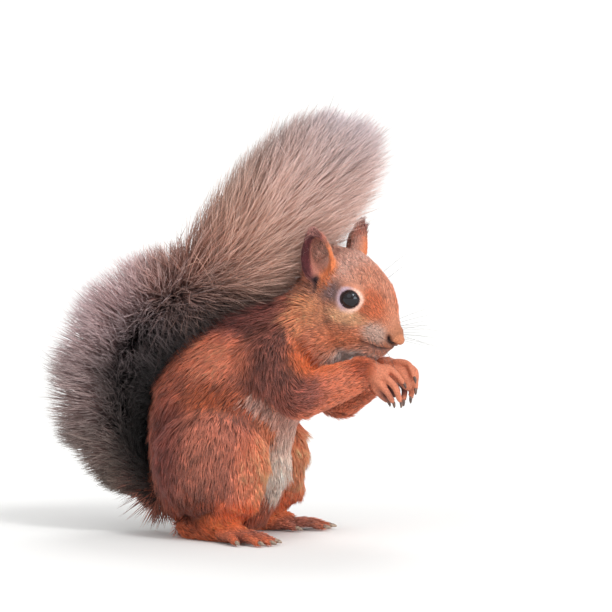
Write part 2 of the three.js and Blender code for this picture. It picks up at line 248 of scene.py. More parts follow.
furLooks = {
    "skinFur": {"speckle": 1400, "vary": 0.25, "rough": (0.62, 0.62), "grain": 2600,
                "bump": 0.6, "bumpDepth": 0.0003, "shine": 0.2, "sheen": 0.05},
    "bodyFur": {"speckle": 700, "vary": 0.12, "rough": (0.75, 0.5), "grain": 4000,
                "bump": 0.25, "bumpDepth": 0.0001, "shine": 0.27, "sheen": 0.1},
    "tailFur": {"speckle": 500, "vary": 0.14, "rough": (0.8, 0.55), "grain": 4000,
                "bump": 0.25, "bumpDepth": 0.0001, "shine": 0.22, "sheen": 0.12},
}
skinFur, bodyFur, tailFur = (furMaterial(name, look) for name, look in furLooks.items())

# The skin is one surface through all the flesh, inside the solids by the coat's depth.
# Depth, length and width are in millimetres, lift in degrees, and many in tufts to a square millimetre.
areaKeys = ("depth", "length", "width", "lift", "many", "tone")
areaRows = {
    "head": (0.5, 3.2, 0.3, 15, 3.6, (184, 114, 86)),
    "nose": (0.3, 0.8, 0.22, 10, 3.0, (200, 140, 110)),
    "ear": (0.25, 2.2, 0.24, 12, 3.0, (168, 102, 86)),
    "neck": (1.5, 7.0, 0.42, 22, 1.8, (150, 86, 68)),
    "trunk": (1.7, 8.5, 0.44, 19, 1.5, (152, 80, 58)),
    "thigh": (1.5, 8.5, 0.44, 17, 1.9, (142, 82, 66)),
    "upper_arm": (1.3, 6.5, 0.4, 19, 1.9, (124, 74, 64)),
    "forearm": (0.6, 4.2, 0.34, 17, 2.4, (186, 104, 74)),
    "hand": (-0.35, 1.6, 0.2, 12, 2.4, (196, 120, 92)),
    "shank": (0.7, 4.2, 0.38, 17, 2.2, (226, 106, 64)),
    "foot": (-0.35, 2.9, 0.27, 22, 2.2, (190, 98, 62)),
    "tail": (-0.35, 30, 0.34, 60, 5.1, (72, 52, 48)),
}
coatAreas = {name: dict(zip(areaKeys, row)) for name, row in areaRows.items()}
areaNames = list(coatAreas)

# The tail's bone: points through the middle of the brush, with the flesh's radius at each.
tailBone = [
    ((-16, 0, 10), 9.0),
    ((-27.6, 0, 15), 8.0),
    ((-39.6, 0, 24), 6.8),
    ((-51, 0, 38), 6.0),
    ((-56.6, 0, 57), 5.6),
    ((-54, 0, 78), 5.2),
    ((-43.6, 0.5, 96), 4.8),
    ((-26.6, 2, 109), 4.4),
    ((-10.6, 4, 118), 4.0),
    ((2.4, 5, 130), 3.6),
    ((18.4, 4, 148), 3.0),
    ((32.4, 2, 165), 2.4),
    ((43, 1, 177), 1.6),
]
skinSizes = {
    "grow": 0.35 * mm,  # closes the thin gaps between the solids
    "tailFrom": 22,  # past this step of the bone the flesh is the tail's
    "tailNear": 8.5 * mm,  # how near to the bone
    "tailOff": 1.2 * mm,  # and how far from the solids
    "voxel": 0.55 * mm,
    "spread": 18,  # rounds that soften a value across the border of two areas
    "blend": 45,  # the same, for the coat's own values
    "lie": 50,  # and for the way in which the hair lies
    "faces": 0.36,  # the share of faces that the thinning leaves
}

# Each forepaw: its palm, a pad that fills the gaps behind the fingers and takes the palm's painted shade,
# and each finger from its knuckle over a bend to the claw. The radii are those of a finger, from the palm's
# middle to the claw.
pawLook = {
    "right": {
        "palm": [
            ((54, -13.6, 74), 6.8), ((60, -11.4, 75.6), 6.8),
            ((65.6, -8.8, 77.4), 6.6), ((73, -9, 75.4), 4.6),
        ],
        "pad": [((71, -7, 74), 4.8), ((76, -6.4, 71.2), 4.2), ((79, -6.2, 68.4), 3.2)],
        "middle": (70, -8.8, 75),
        "fingers": [
            [(74.8, -7, 78.6), (80, -7.8, 76.4), (82.8, -5.6, 72.4)],
            [(73.6, -10.2, 76.6), (81.2, -11.9, 71), (83.2, -9.6, 64.6)],
            [(73, -11.2, 72.8), (78, -12.6, 68.4), (79.6, -9.8, 64.2)],
            [(71.4, -9.8, 70.4), (74.8, -10.8, 66.6), (76.4, -8, 64.2)],
        ],
    },
    "left": {
        "palm": [
            ((55, 12.6, 71), 6.2), ((60.5, 9.9, 73.6), 6.4),
            ((66.5, 7.6, 76.6), 6.3), ((74.4, 6, 77.4), 4.4),
        ],
        "pad": [((72, 5.4, 76), 4.6), ((79, 4, 74.4), 4.2), ((82.4, 2.6, 71), 3.2)],
        "middle": (71, 6.6, 76.4),
        "fingers": [
            [(76, 4, 80), (82.4, 3.4, 79.4), (86, 0.6, 74.6)],
            [(77.2, 6.6, 79), (84.6, 5.8, 76.4), (86.4, 2, 69.6)],
            [(76.8, 7.4, 76), (83.6, 6.8, 72), (84, 3, 65.6)],
            [(74.4, 6.8, 73), (79.4, 6.2, 69), (80.6, 2.6, 64.2)],
        ],
    },
    "radii": (2.1, 1.85, 1.6, 1.3),
}
# The hind foot, for the left side. A toe leaves the ball at "across" and "back", and splays by so many
# degrees. Each of its places has a share of its reach and a height over the floor.
footLook = {
    "sole": [
        ((-17, 16.6, 5.2), 4.2), ((-12, 18.6, 5.8), 5.8), ((0, 23.6, 5.6), 5.8), ((13, 28.8, 4.4), 4.7),
    ],
    "ball": (15.857, 30, 4.4),
    "ahead": (0.9285, 0.3714, 0),
    "toes": [
        {"across": -6.4, "back": 7.5, "reach": 9.5, "splay": -24},
        {"across": -3.6, "back": 0.5, "reach": 14.5, "splay": -9},
        {"across": 0, "back": 0, "reach": 16.5, "splay": 0},
        {"across": 3.4, "back": 0.5, "reach": 15.5, "splay": 8},
        {"across": 6, "back": 5, "reach": 11.5, "splay": 22},
    ],
    "places": ((-0.35, 4.2), (0.1, 3.5), (0.6, 3.4), (1, 1.9)),
    "radii": (2.6, 2.0, 1.75, 1.45),
}


def smoothRun(run, steps=5, capAngles=(0.6, 1.1, 1.45)):
    # a smooth run through places with radii, in millimetres, rounded off at both ends
    knots = np.array([(*place, radius) for place, radius in run], float)
    knots = np.vstack([2 * knots[0] - knots[1], knots, 2 * knots[-1] - knots[-2]])
    samples = []
    for a, b, c, d in zip(knots, knots[1:], knots[2:], knots[3:]):
        for t in np.arange(steps) / steps:
            bend = (2 * a - 5 * b + 4 * c - d) * t**2 + (3 * b - a - 3 * c + d) * t**3
            samples.append(0.5 * (2 * b + (c - a) * t + bend))
    samples.append(knots[-2])
    for end, inner, reverse in ((samples[0], samples[1], True), (samples[-1], samples[-2], False)):
        way = unit(end[:3] - inner[:3])
        for angle in capAngles:
            place = end[:3] + way * end[3] * math.sin(angle)
            sample = np.array((*place, end[3] * math.cos(angle)))
            samples.insert(0, sample) if reverse else samples.append(sample)
    return samples


def tubes(name, runs):
    curve = bpy.data.curves.new(name, "CURVE")
    curve.dimensions = "3D"
    curve.bevel_depth = mm
    curve.bevel_resolution = 3
    curve.use_fill_caps = True
    for run in runs:
        samples = smoothRun(run)
        spline = curve.splines.new("POLY")
        spline.points.add(len(samples) - 1)
        for point, (x, y, z, radius) in zip(spline.points, samples):
            point.co = (x * mm, y * mm, z * mm, 1)
            point.radius = radius
    selectOnly(addObject(name, curve))
    bpy.ops.object.convert(target="MESH")
    mergeDoubles(bpy.context.object)
    return bpy.context.object


def pawRuns(paw):
    fingers = [list(zip((paw["middle"], *finger), pawLook["radii"])) for finger in paw["fingers"]]
    return [paw["palm"], paw["pad"], *fingers]


def footRuns(side):
    flip = np.array((1, side, 1))
    ball, ahead = np.array(footLook["ball"]), np.array(footLook["ahead"])
    outward = np.array((-ahead[1], ahead[0], 0))
    runs = [[(tuple(place * flip), radius) for place, radius in footLook["sole"]]]
    for toe in footLook["toes"]:
        turn = math.radians(toe["splay"])
        way = ahead * math.cos(turn) + outward * math.sin(turn)
        start = ball + outward * toe["across"] - ahead * toe["back"]
        places = [
            (*(start + way * share * toe["reach"])[:2], height) for share, height in footLook["places"]
        ]
        runs.append([(tuple(np.array(place) * flip), r) for place, r in zip(places, footLook["radii"])])
    return runs


tailNodes = sorted(name for name in nodes if name.startswith("tail_"))
clawNodes = sorted(name for name in nodes if name.startswith("claw_"))
eyeNodes = ["eye_right", "eye_left"]
pawNodes = ["hand_right", "hand_left", "foot_right", "foot_left"]
fleshNodes = sorted(set(nodes) - set(tailNodes) - set(clawNodes) - set(eyeNodes))

skinNodes = [name for name in fleshNodes + eyeNodes if name not in pawNodes]
skin = joinedCopy(skinNodes, "skin", skinSizes["grow"])
runs = pawRuns(pawLook["right"]) + pawRuns(pawLook["left"]) + footRuns(-1) + footRuns(1)
digits = tubes("digits", runs + [tailBone])
selectOnly(skin, digits)
bpy.ops.object.join()
applyModifier(skin, "REMESH", mode="VOXEL", voxel_size=skinSizes["voxel"], adaptivity=0)
smooth(skin, 4)
print("skin joined:", len(skin.data.vertices), "points")


def areaTree():
    # one search tree over the flesh solids, with the area of each face
    points, faces, labels = [], [], []
    for nodeName in fleshNodes:
        mesh = nodes[nodeName].data
        area = nodeName.replace("_right", "").replace("_left", "")
        start = len(points)
        points += [vertex.co.copy() for vertex in mesh.vertices]
        for polygon in mesh.polygons:
            faces.append([start + index for index in polygon.vertices])
            labels.append(areaNames.index(area))
    return BVHTree.FromPolygons(points, faces), labels


fleshTree, faceAreas = areaTree()
boneSteps = 200
boneTree = KDTree(boneSteps)
boneLine = []
for step in range(boneSteps):
    t = step / (boneSteps - 1) * (len(tailBone) - 1)
    index = min(int(t), len(tailBone) - 2)
    start, end = (Vector(tailBone[index + side][0]) * mm for side in (0, 1))
    boneLine.append(start.lerp(end, t - index))
    boneTree.insert(boneLine[-1], step)
boneTree.balance()
boneLine = np.array(boneLine)
boneWay = unit(np.gradient(boneLine, axis=0))


def areasOf(points):
    labels = np.empty(len(points), int)
    tailLabel = areaNames.index("tail")
    for index, point in enumerate(points):
        _, _, face, distance = fleshTree.find_nearest(point)
        _, step, boneDistance = boneTree.find(point)
        onTail = step > skinSizes["tailFrom"] and boneDistance < skinSizes["tailNear"]
        onTail = onTail and distance > skinSizes["tailOff"]
        labels[index] = tailLabel if onTail else faceAreas[face]
    return labels


def edgesOf(mesh):
    return readNumbers(mesh.edges, "vertices", 2, np.int32)


def spread(values, edges, rounds):
    # softens values over the surface: each point takes the mean of itself and its neighbours
    values = values.reshape(len(values), -1).copy()
    count = len(values)
    near, far = edges[:, 0], edges[:, 1]
    neighbours = 1 + np.bincount(near, minlength=count) + np.bincount(far, minlength=count)
    for _ in range(rounds):
        for column in range(values.shape[1]):
            line = values[:, column]
            total = line + np.bincount(near, line[far], count) + np.bincount(far, line[near], count)
            values[:, column] = total / neighbours
    return values if values.shape[1] > 1 else values[:, 0]


def areaValues(labels, key):
    return np.array([coatAreas[name][key] for name in areaNames], float)[labels]


def movePoints(obj, points):
    writeValues(obj.data.vertices, "co", points)
    obj.data.update()


points = readVectors(skin.data.vertices, "co")
labels = areasOf(points)
edges = edgesOf(skin.data)
depth = spread(areaValues(labels, "depth"), edges, skinSizes["spread"]) * mm + skinSizes["grow"]
normals = readVectors(skin.data.vertex_normals, "vector")
points -= normals * depth[:, None]
points[:, 2] = np.maximum(points[:, 2], 0)
movePoints(skin, points)
print("skin drawn in")

smoothing = {
    "everywhere": 3,
    "rounds": {"shoulder": 160, "muzzle": 6, "plain": 70},
    "plainAreas": ("trunk", "thigh", "neck", "upper_arm", "tail"),
    "shoulderAt": (20, 22, 88),
    "shoulderSize": (16, 14, 14),
    "nose": (31.5, 0, -9.5),
    "noseReach": 9 * mm,
}


def addGroup(name, share, weights, under):
    # a group of the skin's points, with the share at each as its weight, in steps
    group = skin.vertex_groups.new(name=name)
    for weight in weights:
        group.add(np.flatnonzero(share > weight - under).tolist(), weight, "REPLACE")


isPlain = np.isin(labels, [areaNames.index(name) for name in smoothing["plainAreas"]])
nosePlace = headPlace(smoothing["nose"])
far = np.linalg.norm((mirrored(points) / mm - smoothing["shoulderAt"]) / smoothing["shoulderSize"], axis=1)
addGroup("plain", spread(isPlain.astype(float), edges, 6), (0.25, 0.5, 0.75, 1.0), 0.125)
addGroup("muzzle", distances(points, nosePlace) < smoothing["noseReach"], (1.0,), 0.5)
addGroup("shoulder", fall(0.6, 1.1, far) * isPlain, (0.33, 0.67, 1.0), 0.2)
smooth(skin, smoothing["everywhere"])
for name, rounds in smoothing["rounds"].items():
    smooth(skin, rounds, vertex_group=name)
applyModifier(skin, "DECIMATE", ratio=skinSizes["faces"])
skin.vertex_groups.clear()
print("skin thinned:", len(skin.data.polygons), "faces")

eyeLook = {
    "radius": 5.0 * mm,
    "aperture": 51.0,  # degrees from the eye's axis to the lids
    "rim": 0.42 * mm,  # how far the lids stand off the ball
    "bulge": 0.35 * mm,  # how far the cornea stands out
    "sink": 0.9 * mm,  # how deep the skin lies behind the opening
    "slack": 0.1 * mm,
    "near": 2.6,  # the lids' whole reach, in radii of the ball
    "opening": (-3, 2),  # these are degrees past the lids' edge
    "rimInner": (-1, 4),
    "rimOuter": (7, 19),
    "long": 0.06,  # the opening is a little longer than it is high
    "tilt": 0.1,
    "corner": 4,  # and drawn out to its front corner
    "cornerAt": -0.25,
    "cornerWide": 0.35,
    "refined": 10 * mm,
    "place": (9.6, 10.7, 4.4),
    "axis": (0.26, 0.95, 0.14),
    "ringReach": 8.5 * mm,
    "ringInner": (-10, 0),
    "ringOuter": (12, 18),
    "ringEdge": (2, 5.5),
    "less": 2,  # the ring is so many degrees narrower behind, and wider above
    "more": 5,
    "ring": (226, 184, 166),  # the tone of the ring round the lids, and of its rear
    "ringRear": (190, 164, 176),
    "edge": (62, 44, 46),
    "cloud": 900.0,
    "browns": ((0, (0.006, 0.004, 0.004)), (1, (0.022, 0.011, 0.008))),
    "rough": (0.03, 0.07),
    "cornea": (0.55, 1.0),
}


def eyeCentre(side):
    x, y, z = eyeLook["place"]
    return headPlace((x, y * side, z))


def eyeAxis(side):
    x, y, z = eyeLook["axis"]
    return unit(np.array((x, y * side, z)) @ headAxes.T)


def refineNear(places, reach):
    # splits the faces near some places, for finer folds there
    selectOnly(skin)
    setMode("EDIT")
    bpy.ops.mesh.select_all(action="DESELECT")
    setMode("OBJECT")
    centres = readVectors(skin.data.polygons, "center")
    near = np.zeros(len(centres), bool)
    for place in places:
        near |= distances(centres, place) < reach
    skin.data.polygons.foreach_set("select", near)
    setMode("EDIT")
    bpy.ops.mesh.select_mode(type="FACE")
    bpy.ops.mesh.subdivide(number_cuts=1)
    setMode("OBJECT")


def pastLids(ways, side):
    # how many degrees each way from the eye's centre passes outside its opening
    axis = eyeAxis(side)
    angle = np.degrees(np.arccos(np.clip(ways @ axis, -1, 1)))
    forward = unit(headAxes[:, 0] - axis * (headAxes[:, 0] @ axis))
    upward = np.cross(axis, forward) * side
    turn = np.arctan2(ways @ upward, ways @ forward)
    opening = eyeLook["aperture"] * (1 + eyeLook["long"] * np.cos(2 * turn + eyeLook["tilt"]))
    corner = np.exp(-(((turn - eyeLook["cornerAt"]) / eyeLook["cornerWide"]) ** 2))
    return angle - opening - eyeLook["corner"] * corner


def shapeLids(points):
    ball = eyeLook["radius"]
    lid = ball + eyeLook["rim"]
    for side in (-1, 1):
        centre = eyeCentre(side)
        arm = points - centre
        reach = np.linalg.norm(arm, axis=1)
        near = np.flatnonzero(reach < eyeLook["near"] * ball)
        old = reach[near]
        way = arm[near] / old[:, None]
        past = pastLids(way, side)
        inside = fall(*eyeLook["opening"], past)
        rim = smoothstep(*eyeLook["rimInner"], past) * fall(*eyeLook["rimOuter"], past)
        new = old + rim * (np.maximum(lid, np.minimum(old, lid + eyeLook["slack"])) - old)
        new = new + inside * (ball - eyeLook["sink"] - new)
        points[near] = centre + way * new[:, None]
    return points


earLook = {
    "root": (-8, 12.5, 9),
    "tip": (-13.2, 18.5, 29.8),
    "open": (0.5, 0.86, 0),
    "half": 7.4,  # half of its width, in millimetres
    "depth": 4.2,  # how deep its hollow is
    "aside": -0.8,  # how far the hollow is set towards the back edge
    "middle": 0.47,  # shares of the ear's length: the hollow's middle, its half height, and its taper's
    "high": 0.6,
    "taperHigh": 0.62,
    "taper": 0.26,
    "edge": (0.4, 0.78),
    "facing": (-0.6, 0.8),  # the front is pressed in and the back isn't
    "bowed": 1.5,
    "within": 7,
}


def earAxes(side):
    # an ear's own axes: out of its hollow, across, and up to its tip
    flip = np.array((1, side, 1))
    root = np.array(earLook["root"]) * flip
    up = unit(np.array(earLook["tip"]) * flip - root)
    out = np.array(earLook["open"]) * flip
    out = unit(out - up * (out @ up))
    return root, np.stack([out, np.cross(up, out), up], 1)


def hollowEars(points):
    for side in (-1, 1):
        root, axes = earAxes(side)
        local = (intoHead(points) / mm - root) @ axes
        long = np.linalg.norm(np.array(earLook["tip"]) - earLook["root"])
        middle = local[:, 2] - long * earLook["middle"]
        wide = earLook["half"] * (1 - earLook["taper"] * middle / (long * earLook["taperHigh"]))
        aside = local[:, 1] * side - earLook["aside"]
        reach = np.sqrt((aside / wide) ** 2 + (middle / (long * earLook["high"])) ** 2)
        bowl = fall(*earLook["edge"], reach)
        facing = smoothstep(*earLook["facing"], local[:, 0] + earLook["bowed"] * bowl)
        push = bowl * (facing * (np.abs(local[:, 0]) < earLook["within"])) * earLook["depth"]
        points -= (push * mm)[:, None] * (axes[:, 0] @ headAxes.T)
    return points


# Creases of the face in the head's axes, in millimetres, for the left side. Each is pressed in, and its
# tone is painted shade along the fold.
creases = {
    "nostril": {
        "line": [(29.4, 5.7, -8), (30.4, 4.2, -11), (31.6, 2, -11.9)],
        "depth": 1.9,
        "wide": 1.15,
        "tone": (26, 10, 12),
    },
    "lip": {
        "line": [(31.2, 0, -13.4), (28, 4.6, -15), (23, 7.6, -15.4), (18, 9.4, -14.4)],
        "depth": 0.9,
        "wide": 0.7,
        "tone": (58, 34, 34),
    },
    "philtrum": {"line": [(32.6, 0, -11.6), (31, 0, -14)], "depth": 0.5, "wide": 0.5, "tone": (96, 54, 50)},
    "earNotch": {
        "line": [(-8.2, 15.6, 9), (-8.8, 15.4, 3.6)],
        "depth": 1.8,
        "wide": 1.1,
        "tone": (44, 30, 36),
    },
}
# The lower lip and chin hang a little below the solid's jaw.
jawLook = {"at": (22, 0, -18), "size": (10, 8, 5), "push": 1.8, "edge": (0.2, 1)}


def layCreases():
    # lays the line of each crease on the skin, on both sides
    skinTree = searchTree(skin)
    for crease in creases.values():
        line = np.array(crease["line"], float)
        fine = np.concatenate([np.linspace(a, b, 8) for a, b in zip(line, line[1:])])
        both = [headPlace(spot * (1, side, 1)) for spot in fine for side in (-1, 1)]
        found = [skinTree.find_nearest(Vector(spot))[:2] for spot in both]
        crease["spots"] = [np.array(spot) for spot, normal in found]
        crease["bottom"] = [np.array(spot - normal * crease["depth"] * mm) for spot, normal in found]


def creaseMask(points, crease):
    far = np.min([distances(points, spot) for spot in crease["spots"]], axis=0) / mm
    return np.exp(-((far / crease["wide"]) ** 2))


def fillJaw(points):
    local = intoHead(points) / mm
    reach = np.linalg.norm((local - jawLook["at"]) / jawLook["size"], axis=1)
    push = fall(*jawLook["edge"], reach) * jawLook["push"] * mm
    return points - push[:, None] * headAxes[:, 2]


def pressCreases(points, normals):
    # each crease's spots then take in the bottom of its fold as well
    push = sum(creaseMask(points, crease) * crease["depth"] for crease in creases.values())
    for crease in creases.values():
        crease["spots"] = crease["spots"] + crease["bottom"]
    return points - normals * (push * mm)[:, None]


eyePlaces = [eyeCentre(side) for side in (-1, 1)]
refineNear(eyePlaces, eyeLook["refined"])
refineNear([nosePlace], smoothing["noseReach"])

points = readVectors(skin.data.vertices, "co")
points = shapeLids(points)
points = hollowEars(points)
points = fillJaw(points)
movePoints(skin, points)
layCreases()
points = pressCreases(points, readVectors(skin.data.vertex_normals, "vector"))
movePoints(skin, points)
skin.data.validate()
print("face shaped")


def eyeMaterial():
    material, tree, shader = newMaterial("eyeDark")
    cloud = addNoise(tree, eyeLook["cloud"])
    inputs = {
        "Base Color": addRamp(tree, cloud, *eyeLook["browns"]),
        "Roughness": addRange(tree, cloud, *eyeLook["rough"]),
        "Specular IOR Level": 0.45,
        "Specular Tint": (0.75, 0.88, 1, 1),
    }
    fillInputs(tree, shader, inputs)
    return material


eyeDark = eyeMaterial()
for side, nodeName in ((-1, "eye_right"), (1, "eye_left")):
    axis = Vector(eyeAxis(side))
    bpy.ops.object.select_all(action="DESELECT")
    bpy.ops.mesh.primitive_uv_sphere_add(
        segments=64,
        ring_count=40,
        radius=eyeLook["radius"],
        location=Vector(eyeCentre(side)),
        rotation=axis.to_track_quat("Z", "Y").to_euler(),
    )
    eyeball = bpy.context.object
    eyeball.name = "ball_" + nodeName
    bpy.ops.object.transform_apply(location=True, rotation=True, scale=True)
    bpy.ops.object.shade_smooth()
    shell = readVectors(eyeball.data.vertices, "co")
    arm = unit(shell - eyeCentre(side))
    cornea = smoothstep(*eyeLook["cornea"], arm @ np.array(axis))
    movePoints(eyeball, shell + arm * (cornea * eyeLook["bulge"])[:, None])
    finishPiece(eyeball, eyeDark, [nodeName])
print("eyes set")

hornLook = {
    "streaks": 800.0,
    "dark": 0.3,  # the places of both tones among the streaks
    "pale": 0.75,
    "rough": (0.28, 0.5),
    "bump": (0.3, 0.0001),
    "grow": 0.03 * mm,
}
# For each horn: its claws' limb and slot, and its dark and its pale tone.
hornLooks = {
    "frontHorn": ("hand", "claw_front", (58, 44, 44), (126, 98, 84)),
    "hindHorn": ("foot", "claw_hind", (92, 76, 68), (198, 176, 154)),
}


def hornMaterial(name, dark, pale):
    material, tree, shader = newMaterial(name)
    streaks = addNoise(tree, hornLook["streaks"], 3.0)
    stops = (hornLook["dark"], linear(dark)), (hornLook["pale"], linear(pale))
    inputs = {
        "Base Color": addRamp(tree, streaks, *stops),
        "Roughness": addRange(tree, streaks, *hornLook["rough"]),
        "Normal": addBump(tree, streaks, *hornLook["bump"]),
    }
    fillInputs(tree, shader, inputs)
    return material


for name, (limb, slot, dark, pale) in hornLooks.items():
    horn = hornMaterial(name, dark, pale)
    for side in ("right", "left"):
        own = [node for node in clawNodes if node.startswith(f"claw_{limb}_{side}")]
        claws = joinedCopy(own, f"claws_{limb}_{side}", hornLook["grow"])
        applyModifier(claws, "SUBSURF", levels=2, render_levels=2)
        bpy.ops.object.shade_smooth()
        finishPiece(claws, horn, own)
print("claws done")

# The markings, which skin and coat share. Each has a place and a size in millimetres, how soft its edge is,
# and a tone in screen values of 0 to 255. Both sides are alike. Some are painted light or painted shade, as
# said at each.
headMarks = {
    "crown": ((0, 5, 18), (17, 14, 9), 0.5, (210, 162, 146)),
    "forehead": ((18, 4, 12), (12, 12, 10), 0.5, (200, 134, 108)),
    "bridge": ((27, 0, -1), (12, 7, 7), 0.5, (206, 134, 104)),
    "before the eye": ((20.5, 9, 3), (8, 6, 8), 0.5, (182, 98, 64)),
    "behind the eye": ((-2, 17, 4.5), (9, 7, 7), 0.5, (106, 80, 78)),
    "cheek": ((4, 17, -6), (12, 6, 7), 0.5, (152, 94, 68)),
    "under the eye": ((12.5, 14, -3.4), (11, 6, 3.6), 0.5, (212, 156, 118)),
    "below the ear": ((-7, 17, -7), (7, 7, 9), 0.6, (214, 142, 100)),
    "jaw": ((8, 13, -14), (13, 8, 5), 0.5, (194, 114, 80)),
    "whisker pad": ((23.5, 7.5, -8), (5.6, 4, 5), 0.5, (216, 176, 160)),
    "nose": ((32, 0, -8), (4.5, 6, 5), 0.7, (182, 116, 84)),
    "lips": ((27, 4, -15.2), (9, 6, 1.6), 0.5, (176, 122, 104)),
    "throat": ((14, 0, -24), (17, 14, 7.4), 0.3, (228, 204, 196)),
    # partly the ear's own inner tone, partly painted shade in its hollow
    "hollow of the ear": ((-11, 18.5, 18), (7.4, 3.8, 12), 0.3, (74, 32, 36)),
    "front of the ear": ((-4.2, 14.8, 14), (4.6, 5.2, 11), 0.4, (206, 116, 72)),
    "tip of the ear": ((-12.8, 18.5, 29), (5, 4, 3.4), 0.5, (122, 82, 76)),
    # painted shade in the notch at the ear's root
    "notch of the ear": ((-8.4, 16, 5.5), (1.8, 2.4, 4), 0.4, (64, 44, 50)),
}
bodyMarks = {
    "nape and upper back": ((13, 0, 100), (26, 26, 12), 0.4, (104, 54, 48)),
    "shoulder": ((28, 24, 88), (20, 16, 18), 0.4, (104, 58, 48)),
    # partly the neck's orange coat, partly painted light where sun falls
    "side of the neck": ((43, 18, 101), (9, 10, 10), 0.5, (242, 154, 110)),
    "before the shoulder": ((45, 18, 84), (11, 10, 9), 0.6, (218, 110, 62)),
    # partly the flank's orange coat, partly painted light where sun falls
    "flank": ((2, 22, 84), (15, 14, 10), 0.6, (236, 138, 104)),
    # painted shade along the fold over the thigh
    "fold over the thigh": ((2, 27, 66), (15, 12, 7), 0.5, (146, 74, 46)),
    "side of the thigh": ((3, 36, 47), (12, 10, 18), 0.6, (166, 100, 80)),
    # partly the thigh's orange coat, partly a painted rim of light
    "front of the thigh": ((24, 34, 36), (9, 16, 24), 0.5, (236, 138, 102)),
    # partly the orange coat, partly painted light on the inner edge of the thigh
    "its inner edge": ((28, 18, 30), (9, 12, 30), 0.6, (252, 160, 116)),
    # painted shade on the back of the thigh
    "back of the thigh": ((-24, 26, 42), (14, 20, 26), 0.6, (104, 54, 46)),
    # painted shade low on the thigh, by the floor
    "foot of the thigh": ((-6, 28, 15), (14, 18, 9), 0.6, (86, 38, 24)),
    # partly the shin's orange coat, partly a painted rim of light
    "shin": ((18, 32, 13), (8, 12, 8), 0.5, (248, 112, 62)),
    # painted shade at the elbow
    "elbow": ((42, 31, 67), (12, 10, 9), 0.5, (112, 58, 46)),
    # painted shade at the wrist
    "wrist": ((66, 15, 78), (6, 7, 5), 0.5, (140, 64, 38)),
    # partly the palm's own pinkish-grey, partly painted shade behind the fingers
    "palm": ((77, 6.5, 68), (5, 6, 4.4), 0.4, (96, 62, 60)),
    "instep": ((8, 26, 9), (13, 11, 6), 0.5, (244, 126, 74)),
    # painted shade on the toes
    "toes": ((18, 28, 2), (14, 12, 5), 0.5, (130, 76, 62)),
}
# The pale belly and throat: at each level, how far forward they start, and how far they reach to each side.
# Its tone goes from low to high, a painted shade under the forelegs, through one range of levels, and back
# through the other.
belly = {
    "low": (255, 226, 208),
    "high": (186, 142, 128),
    "fade": (26, 62),
    "back": (74, 84),
    "levels": (8, 20, 33, 40, 46, 52, 58, 62, 65, 68, 72, 80, 88, 96),
    "fronts": (24, 20, 19, 19, 24, 26, 23, 18.5, 14, 16, 24, 36, 44, 54),
    "right": (3, 12, 18, 22, 26, 27, 27, 27, 26, 22, 18, 12, 12, 10),
    "left": (0, 2, 6, 12, 19, 24, 26, 26, 25, 22, 18, 12, 12, 10),
    "soft": 1.0,
    "softSide": (-1, 1.5),
}
# Along the tail: the tones of a lock's root, middle and tip.
tailTones = [
    (0.0, (48, 28, 24), (84, 48, 40), (84, 62, 52)),
    (0.2, (46, 30, 28), (94, 68, 64), (96, 88, 80)),
    (0.45, (56, 38, 38), (132, 106, 104), (184, 166, 168)),
    (0.53, (76, 48, 44), (150, 118, 114), (204, 184, 186)),
    (0.57, (96, 58, 50), (148, 108, 98), (192, 162, 156)),
    (0.62, (140, 88, 72), (176, 126, 108), (196, 156, 142)),
    # the fan: its pale coat, lightened further by painted light where sun falls on it
    (0.68, (206, 142, 114), (240, 188, 162), (230, 192, 176)),
    (0.8, (212, 160, 138), (238, 194, 174), (208, 182, 176)),
    (1.0, (160, 136, 134), (178, 164, 166), (184, 174, 180)),
]
# Rows of whiskers on the left side, in the head's axes: three on the lip, then the brow and the cheek.
whiskerRows = [
    {"from": (27, 6.6, -6.6), "to": (20.5, 9.2, -5.4), "count": 4, "way": (0.78, 0.58, 0.52), "length": 34},
    {"from": (27.2, 7, -9), "to": (20, 10, -8), "count": 5, "way": (0.78, 0.58, 0.26), "length": 38},
    {"from": (26.8, 6.8, -11.4), "to": (20.5, 9.8, -11), "count": 5, "way": (0.8, 0.56, 0.06),
     "length": 34},
    {"from": (13, 11.5, 13.2), "to": (9, 12, 14.5), "count": 2, "way": (0.3, 0.62, 0.72), "length": 20},
    {"from": (4, 17.2, -7), "to": (3, 17.2, -8), "count": 1, "way": (-0.1, 0.95, -0.3), "length": 18},
]
whiskerLook = {
    "radius": 0.12,
    "foremost": 101,  # no whisker reaches further forward, in millimetres
    "nearForemost": (0.85, 1),
    "droop": 0.12,
    "fan": -0.3,  # how much further back the last one of a row points
    "stray": 0.07,
    "vary": (0.75, 1.05),
    "tones": [(62, 48, 44), (78, 64, 58), (150, 136, 128)],
    "dot": (84, 56, 54),
    "dotSize": 0.45,
    "dotted": 3,  # the rows whose roots show as dots
}


def whiskerPlaces(row):
    shares = np.linspace(0, 1, row["count"]) if row["count"] > 1 else [0.5]
    return [np.array(row["from"]) * (1 - share) + np.array(row["to"]) * share for share in shares]


def markMask(points, at, size, soft):
    reach = np.linalg.norm((mirrored(points) - at) / size, axis=1)
    return fall(1 - soft, 1 + soft, reach)


def paint(tones, mask, tone):
    tones += mask[:, None] * (np.array(tone, float) - tones)


